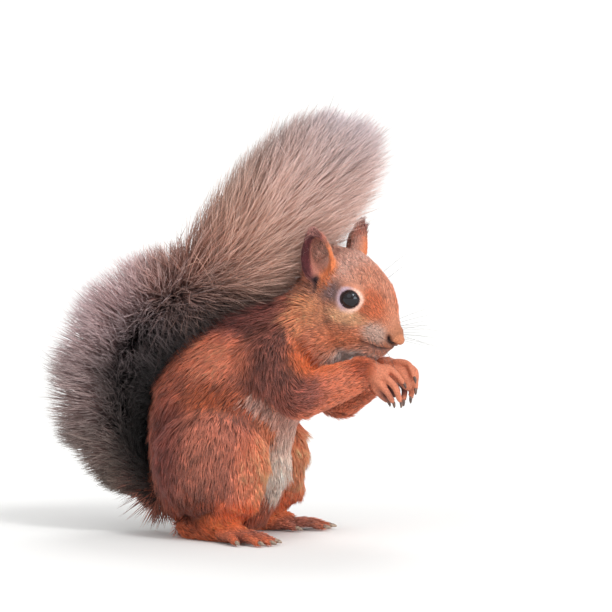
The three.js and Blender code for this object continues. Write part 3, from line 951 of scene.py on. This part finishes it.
def markings(points, areaTones, labels):
    # the coat's mean tone at each point
    tones = areaTones.copy()
    body = points / mm
    local = intoHead(points) / mm
    names = np.array(areaNames)[labels]
    onHead = np.isin(names, ("head", "nose", "ear")) | (local[:, 0] > -6) & (names == "neck")
    onBody = ~np.isin(names, ("head", "nose", "ear", "tail"))
    for at, size, soft, tone in bodyMarks.values():
        paint(tones, markMask(body, at, size, soft) * onBody, tone)
    level = body[:, 2]
    edge = np.interp(level, belly["levels"], belly["fronts"])
    front = smoothstep(-belly["soft"], belly["soft"], body[:, 0] - edge)
    for side, sign in (("right", -1), ("left", 1)):
        past = body[:, 1] * sign - np.interp(level, belly["levels"], belly[side])
        front *= fall(*belly["softSide"], past)
    front *= np.isin(names, ("trunk", "neck"))
    height = smoothstep(*belly["fade"], level) * fall(*belly["back"], level)
    paint(tones, front, belly["low"])
    # painted shade: the pale belly darkens under the forelegs
    paint(tones, front * height, belly["high"])
    for at, size, soft, tone in headMarks.values():
        paint(tones, markMask(local, at, size, soft) * onHead, tone)
    folded = mirrored(local)
    for row in whiskerRows[:whiskerLook["dotted"]]:
        for spot in whiskerPlaces(row):
            far = distances(folded, spot) / whiskerLook["dotSize"]
            paint(tones, 0.7 * np.exp(-(far**2)), whiskerLook["dot"])
    for side in (-1, 1):
        paintRing(tones, points - eyeCentre(side), side)
    return tones


def paintRing(tones, arm, side):
    # the pale ring round the eye, with a dark edge along the lids
    near = np.linalg.norm(arm, axis=1) < eyeLook["ringReach"]
    way = unit(arm)
    past = pastLids(way, side)
    rear = fall(-0.45, 0.45, way @ headAxes[:, 0])
    above = smoothstep(0.2, 0.9, way @ headAxes[:, 2])
    reach = past + eyeLook["less"] * rear - eyeLook["more"] * above
    ring = near * smoothstep(*eyeLook["ringInner"], past) * fall(*eyeLook["ringOuter"], reach)
    paint(tones, ring * (1 - rear), eyeLook["ring"])
    paint(tones, ring * rear, eyeLook["ringRear"])
    paint(tones, near * fall(*eyeLook["ringEdge"], past), eyeLook["edge"])


# Where the hair of each limb runs from and to, in millimetres, for the left side.
limbLines = {
    "upper_arm": ((30, 20, 88), (33, 26, 58)),
    "forearm": ((40, 22, 65), (67, 8, 76)),
    "hand": ((67, 8, 77), (84, 6, 66)),
    "thigh": ((0, 24, 60), (-3, 27, 6)),
    "shank": ((6, 26, 22), (14, 28, 4)),
    "foot": ((-14, 18, 6), (18, 30, 3)),
}
spineLine = [
    (60, -2, 113), (50.4, -1.5, 105), (38.4, -0.5, 92), (26.4, 0, 79.5), (12.4, 0, 66.5),
    (2.4, 0, 52), (-3.6, 0, 37), (-6.6, 0, 22), (-6.6, 0, 6),
]
faceMiddle = (38, 0, -9)  # in the head's axes, and the hair of the face runs away from it


def nearestOn(line, points):
    spots = np.array(line, float) * mm
    fine = np.concatenate([np.linspace(a, b, 12, endpoint=False) for a, b in zip(spots, spots[1:])])
    ways = unit(np.gradient(fine, axis=0))
    far = np.linalg.norm(points[:, None] - fine[None], axis=2)
    return ways[far.argmin(axis=1)]


def sidedWay(line, aside):
    # the way of a line of the left side, mirrored where a point lies on the right
    start, end = (np.array(spot, float) for spot in line)
    flip = np.where(aside < 0, -1, 1)
    return (end - start) * np.stack([np.ones(len(flip)), flip, np.ones(len(flip))], 1)


def lieOf(points, labels, normals, edges):
    # the way in which the hair lies at each point
    ways = np.zeros_like(points)
    for label, name in enumerate(areaNames):
        own = labels == label
        if name in limbLines:
            ways[own] = sidedWay(limbLines[name], points[own, 1])
        elif name == "ear":
            line = (earLook["root"], earLook["tip"])
            ways[own] = sidedWay(line, intoHead(points[own])[:, 1]) @ headAxes.T
        elif name in ("head", "nose"):
            ways[own] = points[own] - headPlace(faceMiddle)
        elif name in ("neck", "trunk"):
            ways[own] = nearestOn(spineLine, points[own])
        else:
            spots = [boneTree.find(point)[1] for point in points[own]]
            ways[own] = boneWay[spots]
    ways = squareTo(normals, unit(ways))
    return squareTo(normals, spread(ways, edges, skinSizes["lie"]))


# The coat is tufts, thin closed spikes joined in pieces. A shape gives the width at shares of its length.
tuftShapes = {
    "short": [(0.0, 0.7), (0.42, 1.0)],
    "long": [(0.0, 0.5), (0.24, 1.0), (0.54, 0.9), (0.82, 0.5)],
    "whisker": [(0.0, 1.0), (0.2, 0.85), (0.45, 0.65), (0.7, 0.42), (0.88, 0.24)],
}
coatLook = {
    "bright": 1.75,  # makes up for the shade between the tufts
    "palest": 0.86,
    "tips": np.array((12, 14, 16)),  # added to the tone of the tips: their paler ends, and partly a painted sheen
    "tones": (0.54, 0.94, 1.14),  # the tone of root, middle and tip, as shares of the mean; the lighter tip is partly a painted sheen
    "paleRoots": 0.3,  # added for the root, where the mean tone is pale
    "pale": (190, 250),
    "lower": 0.3,  # a tuft's outer half lifts less and sways more
    "swayOut": 1.6,
    "length": (0.7, 1.2),  # these are how much the tufts vary
    "width": (0.7, 1.3),
    "lift": (0.5, 1.7),
    "sway": 0.16,
    "blur": 0.35 * mm,  # the place whose marking a tuft takes
    "cloudScale": 260,
    "cloud": 0.18,
    "speck": 0.1,
    "patch": 0.003,  # the size of a tuft's place on the bake map
    "flat": 0.45,  # a tuft's thickness as a share of its width
    "sink": 0.3 * mm,  # how deep a tuft's root is in the skin
    "lowest": 0.1 * mm,
}
# For each piece: its areas, its side or 0 for both, its slot, how far the tufts of a clump lean to their
# leader's tip, and how many tufts a clump has.
coatPieces = [
    ("coat_face_right", ("head", "nose"), -1, "coat_face", 0.2, 6),
    ("coat_face_left", ("head", "nose"), 1, "coat_face", 0.2, 6),
    ("coat_ears", ("ear",), 0, "coat_face", 0.15, 5),
    ("coat_neck", ("neck",), 0, "coat_body", 0.4, 9),
    ("coat_trunk_right", ("trunk",), -1, "coat_body", 0.45, 10),
    ("coat_trunk_left", ("trunk",), 1, "coat_body", 0.45, 10),
    ("coat_thigh_right", ("thigh",), -1, "coat_body", 0.45, 10),
    ("coat_thigh_left", ("thigh",), 1, "coat_body", 0.45, 10),
    ("coat_arms", ("upper_arm", "forearm"), 0, "coat_body", 0.35, 8),
    ("coat_feet", ("hand", "shank", "foot"), 0, "coat_feet", 0.35, 7),
]
# Where the coat is longer, shorter or more upright than its area's. A pair holds the limits over which a
# change comes in: in millimetres, or of a normal's upward share, or of a crease's mask.
coatPlaces = {
    "eye": (6.5, 10),
    "eyeLength": 0.28,
    "bareEye": (5.8, 6.3),
    "paleEye": (6.6, 8),
    "chinDown": (-13, -17),
    "chinAhead": (20, 27),
    "napeUp": (96, 102),
    "napeFacing": (0.1, 0.5),
    "crownAhead": (-11, -7),
    "crownFacing": (-0.3, 0.1),
    "earUp": (19, 27),
    "more": {"chin": (0.9, 1.4), "nape": (0.6, 0.6), "earTip": (0.8, 1.2)},  # added to length and lift
    "nose": (3.5, 13),
    "noseLeast": {"length": 0.25, "width": 0.7},
    "crease": (0.005, 0.1),
    "bareCrease": (0.08, 0.35),
    "thighUp": (8, 26),
    "heelAhead": (-6, 10),
}


def unwrapSkin():
    selectOnly(skin)
    skin.data.uv_layers.new(name="OFBake")
    setMode("EDIT")
    bpy.ops.mesh.select_all(action="SELECT")
    bpy.ops.uv.smart_project(angle_limit=math.radians(66), island_margin=0.002)
    setMode("OBJECT")


def readSkin():
    mesh = skin.data
    mesh.calc_loop_triangles()
    loops = readNumbers(mesh.loop_triangles, "loops", 3, np.int32)
    points = readVectors(mesh.vertices, "co")
    normals = readVectors(mesh.vertex_normals, "vector")
    edges = edgesOf(mesh)
    labels = areasOf(points)
    names = np.array(areaNames)[labels]
    local = intoHead(points) / mm
    surface = {
        "corners": readNumbers(mesh.loop_triangles, "vertices", 3, np.int32),
        "points": points,
        "normals": normals,
        "labels": labels,
        "lie": lieOf(points, labels, normals, edges),
        "map": readVectors(mesh.uv_layers["OFBake"].data, "uv", 2)[loops],
    }
    for key in ("length", "width", "lift", "many"):
        surface[key] = spread(areaValues(labels, key), edges, skinSizes["blend"])
    limits = coatPlaces
    for place in eyePlaces:
        offEye = smoothstep(*limits["eye"], distances(points, place) / mm)
        surface["length"] *= limits["eyeLength"] + (1 - limits["eyeLength"]) * offEye
    ahead, upward = local[:, 0], local[:, 2]
    chin = (names == "head") * smoothstep(*limits["chinDown"], upward)
    chin = chin * fall(*limits["chinAhead"], ahead)
    nape = np.isin(names, ("neck", "trunk")) * smoothstep(*limits["napeUp"], points[:, 2] / mm)
    nape *= smoothstep(*limits["napeFacing"], normals[:, 2])
    crown = 2 * (names == "head") * fall(*limits["crownAhead"], ahead)
    nape += crown * smoothstep(*limits["crownFacing"], normals[:, 2])
    earTip = (names == "ear") * smoothstep(*limits["earUp"], upward)
    for name, share in {"chin": chin, "nape": nape, "earTip": earTip}.items():
        longer, steeper = limits["more"][name]
        surface["length"] *= 1 + longer * share
        surface["lift"] *= 1 + steeper * share
    offNose = smoothstep(*limits["nose"], distances(points, nosePlace) / mm)
    for key, least in limits["noseLeast"].items():
        surface[key] *= least + (1 - least) * offNose
    for crease in creases.values():
        surface["length"] *= 1 - 0.5 * smoothstep(*limits["crease"], creaseMask(points, crease))
    surface["tone"] = spread(areaValues(labels, "tone"), edges, skinSizes["blend"])
    hanging = (names == "thigh") * fall(*limits["thighUp"], points[:, 2] / mm)
    heel = (names == "foot") * fall(*limits["heelAhead"], points[:, 0] / mm)
    surface["length"] *= 1 + spread(0.5 * hanging + 1.2 * heel, edges, skinSizes["spread"])
    return surface


def paintSkin(surface):
    # under the thicker coat the skin is a little darker than the hair
    tones = markings(surface["points"], surface["tone"], surface["labels"])
    names = np.array(areaNames)[surface["labels"]]
    share = np.where(np.isin(names, ("hand", "foot", "nose", "ear")), 1.0, 0.86)
    for place in eyePlaces:
        far = distances(surface["points"], place)
        share += (1.0 - share) * fall(*coatPlaces["paleEye"], far / mm)
    onTail = names == "tail"
    tones[onTail] = tailTone(surface["points"][onTail], 0)
    # each crease's tone is painted shade along its fold
    for crease in creases.values():
        paint(tones, creaseMask(surface["points"], crease) * 0.95, crease["tone"])
    colours = np.ones((len(tones), 4))
    colours[:, :3] = linear(tones * share[:, None])
    layer = skin.data.color_attributes.new("tone", "FLOAT_COLOR", "POINT")
    writeValues(layer.data, "color", colours)


def tailTone(points, which):
    # which: 0 for a lock's root, 1 for its middle, 2 for its tip
    share = np.array([boneTree.find(point)[1] / (boneSteps - 1) for point in points])
    stops = [row[0] for row in tailTones]
    tones = np.array([row[which + 1] for row in tailTones], float)
    return np.stack([np.interp(share, stops, line) for line in tones.T], 1)


def placeRoots(surface):
    # one root for each tuft, spread evenly by area and by how many the place should have
    corners = surface["corners"]
    a, b, c = (surface["points"][corners[:, i]] for i in range(3))
    size = np.linalg.norm(np.cross(b - a, c - a), axis=1) / 2
    many = surface["many"][corners].mean(1) / mm**2
    centre = (a + b + c) / 3
    facing = np.cross(b - a, c - a)[:, 2] < 0
    onTail = surface["labels"][corners[:, 0]] == areaNames.index("tail")
    many *= 1 + tailCoat["under"] * (onTail & facing & (centre[:, 0] > tailCoat["underFrom"]))
    for place in eyePlaces:
        many *= smoothstep(*coatPlaces["bareEye"], distances(centre, place) / mm)
    for crease in creases.values():
        many *= fall(*coatPlaces["bareCrease"], creaseMask(centre, crease))
    wanted = np.cumsum(size * many)
    count = int(wanted[-1])
    picks = (np.arange(count) + chance.random(count)) / count * wanted[-1]
    faces = np.minimum(np.searchsorted(wanted, picks), len(corners) - 1)
    share = chance.dirichlet((1, 1, 1), count)
    at = corners[faces]

    def blend(values):
        return (values[at] * share.reshape(count, 3, *[1] * (values.ndim - 1))).sum(1)

    roots = {key: blend(surface[key]) for key in ("points", "length", "width", "lift", "tone")}
    roots["normals"] = unit(blend(surface["normals"]))
    roots["lie"] = unit(blend(surface["lie"]))
    roots["map"] = (surface["map"][faces] * share[:, :, None]).sum(1)
    roots["labels"] = surface["labels"][at[:, 0]]
    return roots


def clumped(starts, ends, size, pull):
    # ends drawn towards the end of the nearest clump's leader, and the leader of each
    count = len(starts)
    leaders = chance.choice(count, max(count // size, 1), replace=False)
    tree = KDTree(len(leaders))
    for index in leaders:
        tree.insert(starts[index], index)
    tree.balance()
    nearest = np.array([tree.find(point)[1] for point in starts])
    return ends + (ends[nearest] - ends) * pull, nearest


def tuftMesh(name, starts, bends, ends, across, upward, width, tones, maps, shape):
    # a tuft follows a smooth bend through three points; its section is a flat triangle
    rings = tuftShapes[shape]
    count = len(starts)
    long = np.linalg.norm(ends - starts, axis=1)
    wave = long * chance.uniform(0, 1, count) * tailCoat["wave"] * (shape == "long")
    phase = chance.uniform(0, 6.3, count)
    perTuft = 3 * len(rings) + 1
    points = np.empty((count, perTuft, 3))
    shades = np.ones((count, perTuft, 4))
    spots = np.empty((count, perTuft, 2))
    alongs = np.empty((count, perTuft))
    corner = [(-0.5, 0.0), (0.5, 0.0), (0.0, 1.0)]
    for ring, (t, size) in enumerate([*rings, (1.0, 0.0)]):
        middle = starts * (1 - t) ** 2 + bends * 2 * t * (1 - t) + ends * t**2
        middle += across * (wave * np.sin(phase + 6 * t) * t)[:, None]
        half = width * size
        shade = tones[0] + (tones[1] - tones[0]) * min(t * 2, 1)
        shade = shade + (tones[2] - tones[1]) * max(t * 2 - 1, 0)
        for step, (aside, rise) in enumerate(corner if size else corner[:1]):
            index = 3 * ring + step
            points[:, index] = middle
            if size:
                points[:, index] += across * (aside * half)[:, None]
                points[:, index] += upward * (rise * half * coatLook["flat"])[:, None]
            shades[:, index, :3] = shade
            spots[:, index] = maps + coatLook["patch"] * np.array((0.5 * step - 0.5, t - 0.5))
            alongs[:, index] = t
    spots[:, -1] = maps + coatLook["patch"] * np.array((0.0, 0.5))
    points[:, :, 2] = np.maximum(points[:, :, 2], coatLook["lowest"])
    faces = [(0, 2, 1)]
    for ring in range(len(rings) - 1):
        for step in range(3):
            a, b = 3 * ring + step, 3 * ring + (step + 1) % 3
            faces += [(a, b, b + 3), (a, b + 3, a + 3)]
    last = 3 * (len(rings) - 1)
    faces += [(last + step, last + (step + 1) % 3, perTuft - 1) for step in range(3)]
    faces = (np.array(faces)[None] + (np.arange(count) * perTuft)[:, None, None]).reshape(-1)
    mesh = bpy.data.meshes.new(name)
    mesh.vertices.add(count * perTuft)
    writeValues(mesh.vertices, "co", points)
    mesh.loops.add(len(faces))
    mesh.loops.foreach_set("vertex_index", faces.astype(np.int32))
    mesh.polygons.add(len(faces) // 3)
    mesh.polygons.foreach_set("loop_start", np.arange(0, len(faces), 3, dtype=np.int32))
    layer = mesh.color_attributes.new("tone", "FLOAT_COLOR", "POINT")
    writeValues(layer.data, "color", np.clip(shades, 0, 1))
    layer = mesh.attributes.new("along", "FLOAT", "POINT")
    writeValues(layer.data, "value", alongs)
    bake = mesh.uv_layers.new(name="OFBake")
    writeValues(bake.data, "uv", spots.reshape(-1, 2)[faces])
    mesh.update()
    mesh.validate()
    return addObject(name, mesh)


def tuftTone(tones):
    bright = linear(tones) * coatLook["bright"]
    return bright * np.minimum(1, coatLook["palest"] / bright.max(axis=1, keepdims=True))


def varied(count, low, high):
    return chance.uniform(low, high, count)


def runOut(points, normals, first, second, length):
    # where tufts start, bend and end, with half of their length each way
    starts = points - normals * coatLook["sink"]
    bends = starts + first * (length * 0.5)[:, None]
    return starts, bends, bends + second * (length * 0.5)[:, None]


def growPiece(roots, own, name, pull, clump):
    points, normals, lie = (roots[key][own] for key in ("points", "normals", "lie"))
    count = len(points)
    lie = squareTo(normals, lie)
    across = np.cross(lie, normals)
    length = roots["length"][own] * mm * varied(count, *coatLook["length"])
    width = roots["width"][own] * mm * varied(count, *coatLook["width"])
    lift = np.radians(roots["lift"][own] * varied(count, *coatLook["lift"]))[:, None]
    sway = chance.normal(0, coatLook["sway"], count)[:, None]
    first = unit(lie * np.cos(lift) + normals * np.sin(lift) + across * sway)
    low = lift * coatLook["lower"]
    sway = sway * coatLook["swayOut"]
    second = unit(lie * np.cos(low) + normals * np.sin(low) + across * sway)
    starts, bends, ends = runOut(points, normals, first, second, length)
    ends, leader = clumped(starts, ends, clump, pull)
    cloud = np.array([noise.noise(Vector(point) * coatLook["cloudScale"]) for point in points])
    speck = chance.normal(0, coatLook["speck"], count)
    places = points + chance.normal(0, coatLook["blur"], points.shape)
    mean = markings(places, roots["tone"][own], roots["labels"][own])
    locks = chance.normal(0, coatLook["speck"], count)[leader]
    mean = mean * (1 + coatLook["cloud"] * cloud + speck + locks)[:, None]
    root, middle, tip = coatLook["tones"]
    root = root + coatLook["paleRoots"] * smoothstep(*coatLook["pale"], mean[:, 0])[:, None]
    tones = [tuftTone(mean * root), tuftTone(mean * middle), tuftTone(mean * tip + coatLook["tips"])]
    maps = roots["map"][own]
    obj = tuftMesh(name, starts, bends, ends, across, normals, width, tones, maps, "short")
    finishPiece(obj, bodyFur)
    return count


def tailEnvelope():
    # the outline of the tail's solids, to which its hair grows
    whole = joinedCopy(tailNodes, "tailWhole", skinSizes["grow"])
    applyModifier(whole, "REMESH", mode="VOXEL", voxel_size=tailCoat["voxel"], adaptivity=0)
    smooth(whole, 6)
    tree = searchTree(whole)
    bpy.data.objects.remove(whole)
    return tree


# Along the tail: how far the hair leans towards the tip, in degrees, how much it strays, and how much it is
# swept off the back.
tailCoat = {
    "lean": [(0, 30), (0.2, 14), (0.45, 8), (0.57, 14), (0.65, 50), (0.8, 60), (1, 68)],
    "sway": [(0, 0.05), (0.15, 0.09), (0.5, 0.1), (0.58, 0.24), (0.66, 0.2), (0.75, 0.1), (1, 0.12)],
    "comb": [(0, 0.25), (0.5, 0.15), (0.62, 0.0), (1, 0.0)],
    "reach": (0.96, 1.24),  # a hair's length as a share of the way to the outline
    "shade": 0.6,  # painted shade: how much darker the side towards the body is
    "outer": 0.26,  # the fan's side away from the body
    "close": 0.55,  # and painted shade on the hair that lies on the body
    "closeTo": (2 * mm, 14 * mm),
    "leanStray": 6,
    "locks": 0.1,  # how much the shade varies between locks, and between their hairs
    "hairs": 0.06,
    "bodyFrom": (0.15, 0.35),  # these are shares of the bone's length
    "pullFrom": (0.03, 0.2),
    "fanFrom": (0.5, 0.62),
    "fanTo": (0.8, 0.95),
    "shadeTo": (0.5, 0.7),
    "under": 1.3,  # the share of hair added on its underside by the neck
    "underFrom": -32 * mm,
    "voxel": 1.5 * mm,  # how fine the outline is
    "longest": 68 * mm,
    "shortest": 6 * mm,
    "toBody": 8 * mm,  # how much longer the hair towards the body is
    "intoBody": 2 * mm,  # how far it may end inside the body
    "strays": 0.08,
    "stray": (1.05, 1.2),
    "curve": (0.75, 1.2),  # the lean of a hair's first and second half
    "wave": 0.04,
    "pieces": 4,
    "clump": 10,
    "pull": 0.45,
}


def growTail(roots, own):
    points, normals = roots["points"][own], roots["normals"][own]
    count = len(points)
    spots = np.array([boneTree.find(point)[1] for point in points])
    share = spots / (boneSteps - 1)

    def along(key):
        return np.interp(share, *zip(*tailCoat[key]))

    way = boneWay[spots]
    radial = squareTo(way, normals)
    sideways = np.array((0.0, 1.0, 0.0))
    backward = unit(np.cross(sideways, way))
    backward *= np.sign(backward @ np.array((-1.0, 0, 0.35)))[:, None]
    outward = unit(radial + backward * along("comb")[:, None])
    toBack = (outward * backward).sum(1)
    lean = np.radians(along("lean") + chance.normal(0, tailCoat["leanStray"], count))[:, None]
    sway = chance.normal(0, 1, points.shape) * along("sway")[:, None]
    low, high = (lean * part for part in tailCoat["curve"])
    first = unit(outward * np.cos(low) + way * np.sin(low) + sway)
    second = unit(outward * np.cos(high) + way * np.sin(high) + sway * 2)
    chord = (first + second) / 2
    envelope = tailEnvelope()
    reach = np.empty(count)
    for index in range(count):
        hit = envelope.ray_cast(Vector(points[index]), Vector(chord[index]))
        reach[index] = hit[3] if hit[3] is not None else tailCoat["shortest"]
    toBody = smoothstep(0, 0.7, -toBack) * smoothstep(*tailCoat["bodyFrom"], share)
    reach = reach / np.linalg.norm(chord, axis=1) * varied(count, *tailCoat["reach"])
    reach += toBody * tailCoat["toBody"]
    stray = chance.random(count) < tailCoat["strays"]
    reach[stray] *= varied(stray.sum(), *tailCoat["stray"])
    length = np.clip(reach, tailCoat["shortest"], tailCoat["longest"])
    for index, start in enumerate(points - normals * coatLook["sink"]):
        hit = fleshTree.ray_cast(Vector(start), Vector(unit(chord[index])))
        if hit[3] is not None:
            length[index] = min(length[index], hit[3] + tailCoat["intoBody"])
    starts, bends, ends = runOut(points, normals, first, second, length)
    pull = tailCoat["pull"] * (0.3 + 0.7 * smoothstep(*tailCoat["pullFrom"], share))[:, None]
    ends, leader = clumped(starts, ends, tailCoat["clump"], pull)
    across = unit(np.cross(chord, radial + 0.01 * sideways))
    upward = unit(np.cross(across, chord))
    width = roots["width"][own] * mm * varied(count, *coatLook["width"])
    # painted shade: the hair is darker on the side that faces the body, and where it lies close to the body
    facing = -toBack * fall(*tailCoat["shadeTo"], share)
    shade = 1 - tailCoat["shade"] * smoothstep(-0.35, 0.75, facing)
    outer = smoothstep(0.1, 0.8, toBack) * smoothstep(*tailCoat["fanFrom"], share)
    shade *= 1 - tailCoat["outer"] * outer * fall(*tailCoat["fanTo"], share)
    close = np.array([fleshTree.find_nearest(Vector(place))[3] for place in (starts + ends) / 2])
    shade *= 1 - tailCoat["close"] * fall(*tailCoat["closeTo"], close)
    hairs = chance.normal(0, tailCoat["hairs"], count)
    shade *= 1 + hairs + chance.normal(0, tailCoat["locks"], count)[leader]
    tones = [tuftTone(tailTone(points, which) * shade[:, None]) for which in (0, 1, 2)]
    order = np.array_split(np.argsort(spots, kind="stable"), tailCoat["pieces"])
    for index, part in enumerate(order):
        parts = [values[part] for values in (starts, bends, ends, across, upward, width)]
        partTones = [tone[part] for tone in tones]
        maps = roots["map"][own][part]
        obj = tuftMesh(f"coat_tail_{index + 1}", *parts, partTones, maps, "long")
        finishPiece(obj, tailFur)
    return count


unwrapSkin()
surface = readSkin()
paintSkin(surface)
print("skin unwrapped and painted")
roots = placeRoots(surface)
names = np.array(areaNames)[roots["labels"]]
for name, areas, side, slot, pull, clump in coatPieces:
    own = np.isin(names, areas)
    if side:
        own &= np.sign(roots["points"][:, 1]) == side
    print(name, growPiece(roots, own, name, pull, clump), "tufts")
print("coat_tail", growTail(roots, names == "tail"), "tufts")


def growWhiskers():
    starts, ways, lengths = [], [], []
    for row in whiskerRows:
        for side in (-1, 1):
            for index, place in enumerate(whiskerPlaces(row)):
                flip = np.array((1, side, 1))
                starts.append(headPlace(place * flip))
                back = np.array((whiskerLook["fan"] * index / row["count"], 0, 0))
                way = unit(np.array(row["way"]) + back + chance.normal(0, whiskerLook["stray"], 3))
                ways.append((way * flip) @ headAxes.T)
                lengths.append(row["length"] * mm * chance.uniform(*whiskerLook["vary"]))
    starts, ways, lengths = np.array(starts), np.array(ways), np.array(lengths)
    skinTree = searchTree(skin)
    found = [skinTree.find_nearest(Vector(start)) for start in starts]
    starts = np.array([hit[0] for hit in found])
    bake = skin.data.uv_layers["OFBake"].data
    maps = np.array([bake[skin.data.polygons[hit[2]].loop_start].uv for hit in found])
    starts -= ways * 0.5 * mm
    room = (whiskerLook["foremost"] * mm - starts[:, 0]) / np.maximum(ways[:, 0], 0.01)
    lengths = np.minimum(lengths, room * varied(len(starts), *whiskerLook["nearForemost"]))
    bends = starts + ways * (lengths * 0.5)[:, None]
    droop = np.array((-0.25, 0, -1)) * (lengths * whiskerLook["droop"])[:, None]
    ends = bends + ways * (lengths * 0.5)[:, None] + droop
    across = unit(np.cross(ways, np.array((0, 0, 1.0))))
    upward = unit(np.cross(across, ways))
    width = np.full(len(starts), whiskerLook["radius"] * 2 * mm)
    tones = [np.tile(linear(tone), (len(starts), 1)) for tone in whiskerLook["tones"]]
    whiskers = tuftMesh("whiskers", starts, bends, ends, across, upward, width, tones, maps, "whisker")
    finishPiece(whiskers, bodyFur)
    return len(starts)


print(growWhiskers(), "whiskers")

studio = {
    "floor": (0.86, 0.86, 0.85, 1),
    "world": 0.62,
    "lens": 300,
    "distance": 2.295,
    "azimuth": 21,
    "elevation": 4,
    "aim": (30.5, 11.7, 103.65),
    # each sun's azimuth and elevation, strength and softness
    "suns": {
        "keyLamp": (54, 46, 0.5, 56),
        "sparkLamp": (52, 48, 0.95, 14),
        "frontLamp": (66, 5, 1.8, 40),
        "fillLamp": (-12, 34, 0.5, 46),
        "backLamp": (200, 50, 0.7, 30),
    },
}


def direction(azimuth, elevation):
    a, e = math.radians(azimuth), math.radians(elevation)
    return Vector((math.sin(a) * math.cos(e), -math.cos(a) * math.cos(e), math.sin(e)))


def addSun(name, azimuth, elevation, strength, softness):
    lamp = bpy.data.lights.new(name, "SUN")
    lamp.energy = strength
    lamp.angle = math.radians(softness)
    towards = direction(azimuth, elevation)
    addObject(name, lamp).rotation_euler = towards.to_track_quat("Z", "Y").to_euler()


def makeStudio():
    bpy.ops.object.select_all(action="DESELECT")
    bpy.ops.mesh.primitive_plane_add(size=120)
    floor = bpy.context.object
    floor.name = "floor"
    material, tree, shader = newMaterial("paleFloor")
    shader.inputs["Base Color"].default_value = studio["floor"]
    shader.inputs["Roughness"].default_value = 0.9
    floor.data.materials.append(material)
    world = bpy.data.worlds.new("softWorld")
    bpy.context.scene.world = world
    world.use_nodes = True
    sky = world.node_tree.nodes["Background"]
    sky.inputs["Color"].default_value = (1, 1, 1, 1)
    sky.inputs["Strength"].default_value = studio["world"]
    for name, values in studio["suns"].items():
        addSun(name, *values)
    camera = addObject("camera", bpy.data.cameras.new("camera"))
    camera.data.lens = studio["lens"]
    back = direction(studio["azimuth"], studio["elevation"])
    camera.location = Vector(studio["aim"]) * mm + back * studio["distance"]
    camera.rotation_euler = back.to_track_quat("Z", "Y").to_euler()
    camera.data.clip_end = 200
    bpy.context.scene.camera = camera
    bpy.context.scene.view_settings.view_transform = "Standard"


makeStudio()
print("studio set")

finishPiece(skin, skinFur, fleshNodes + tailNodes)
selectOnly(skin)
bpy.ops.object.shade_smooth()
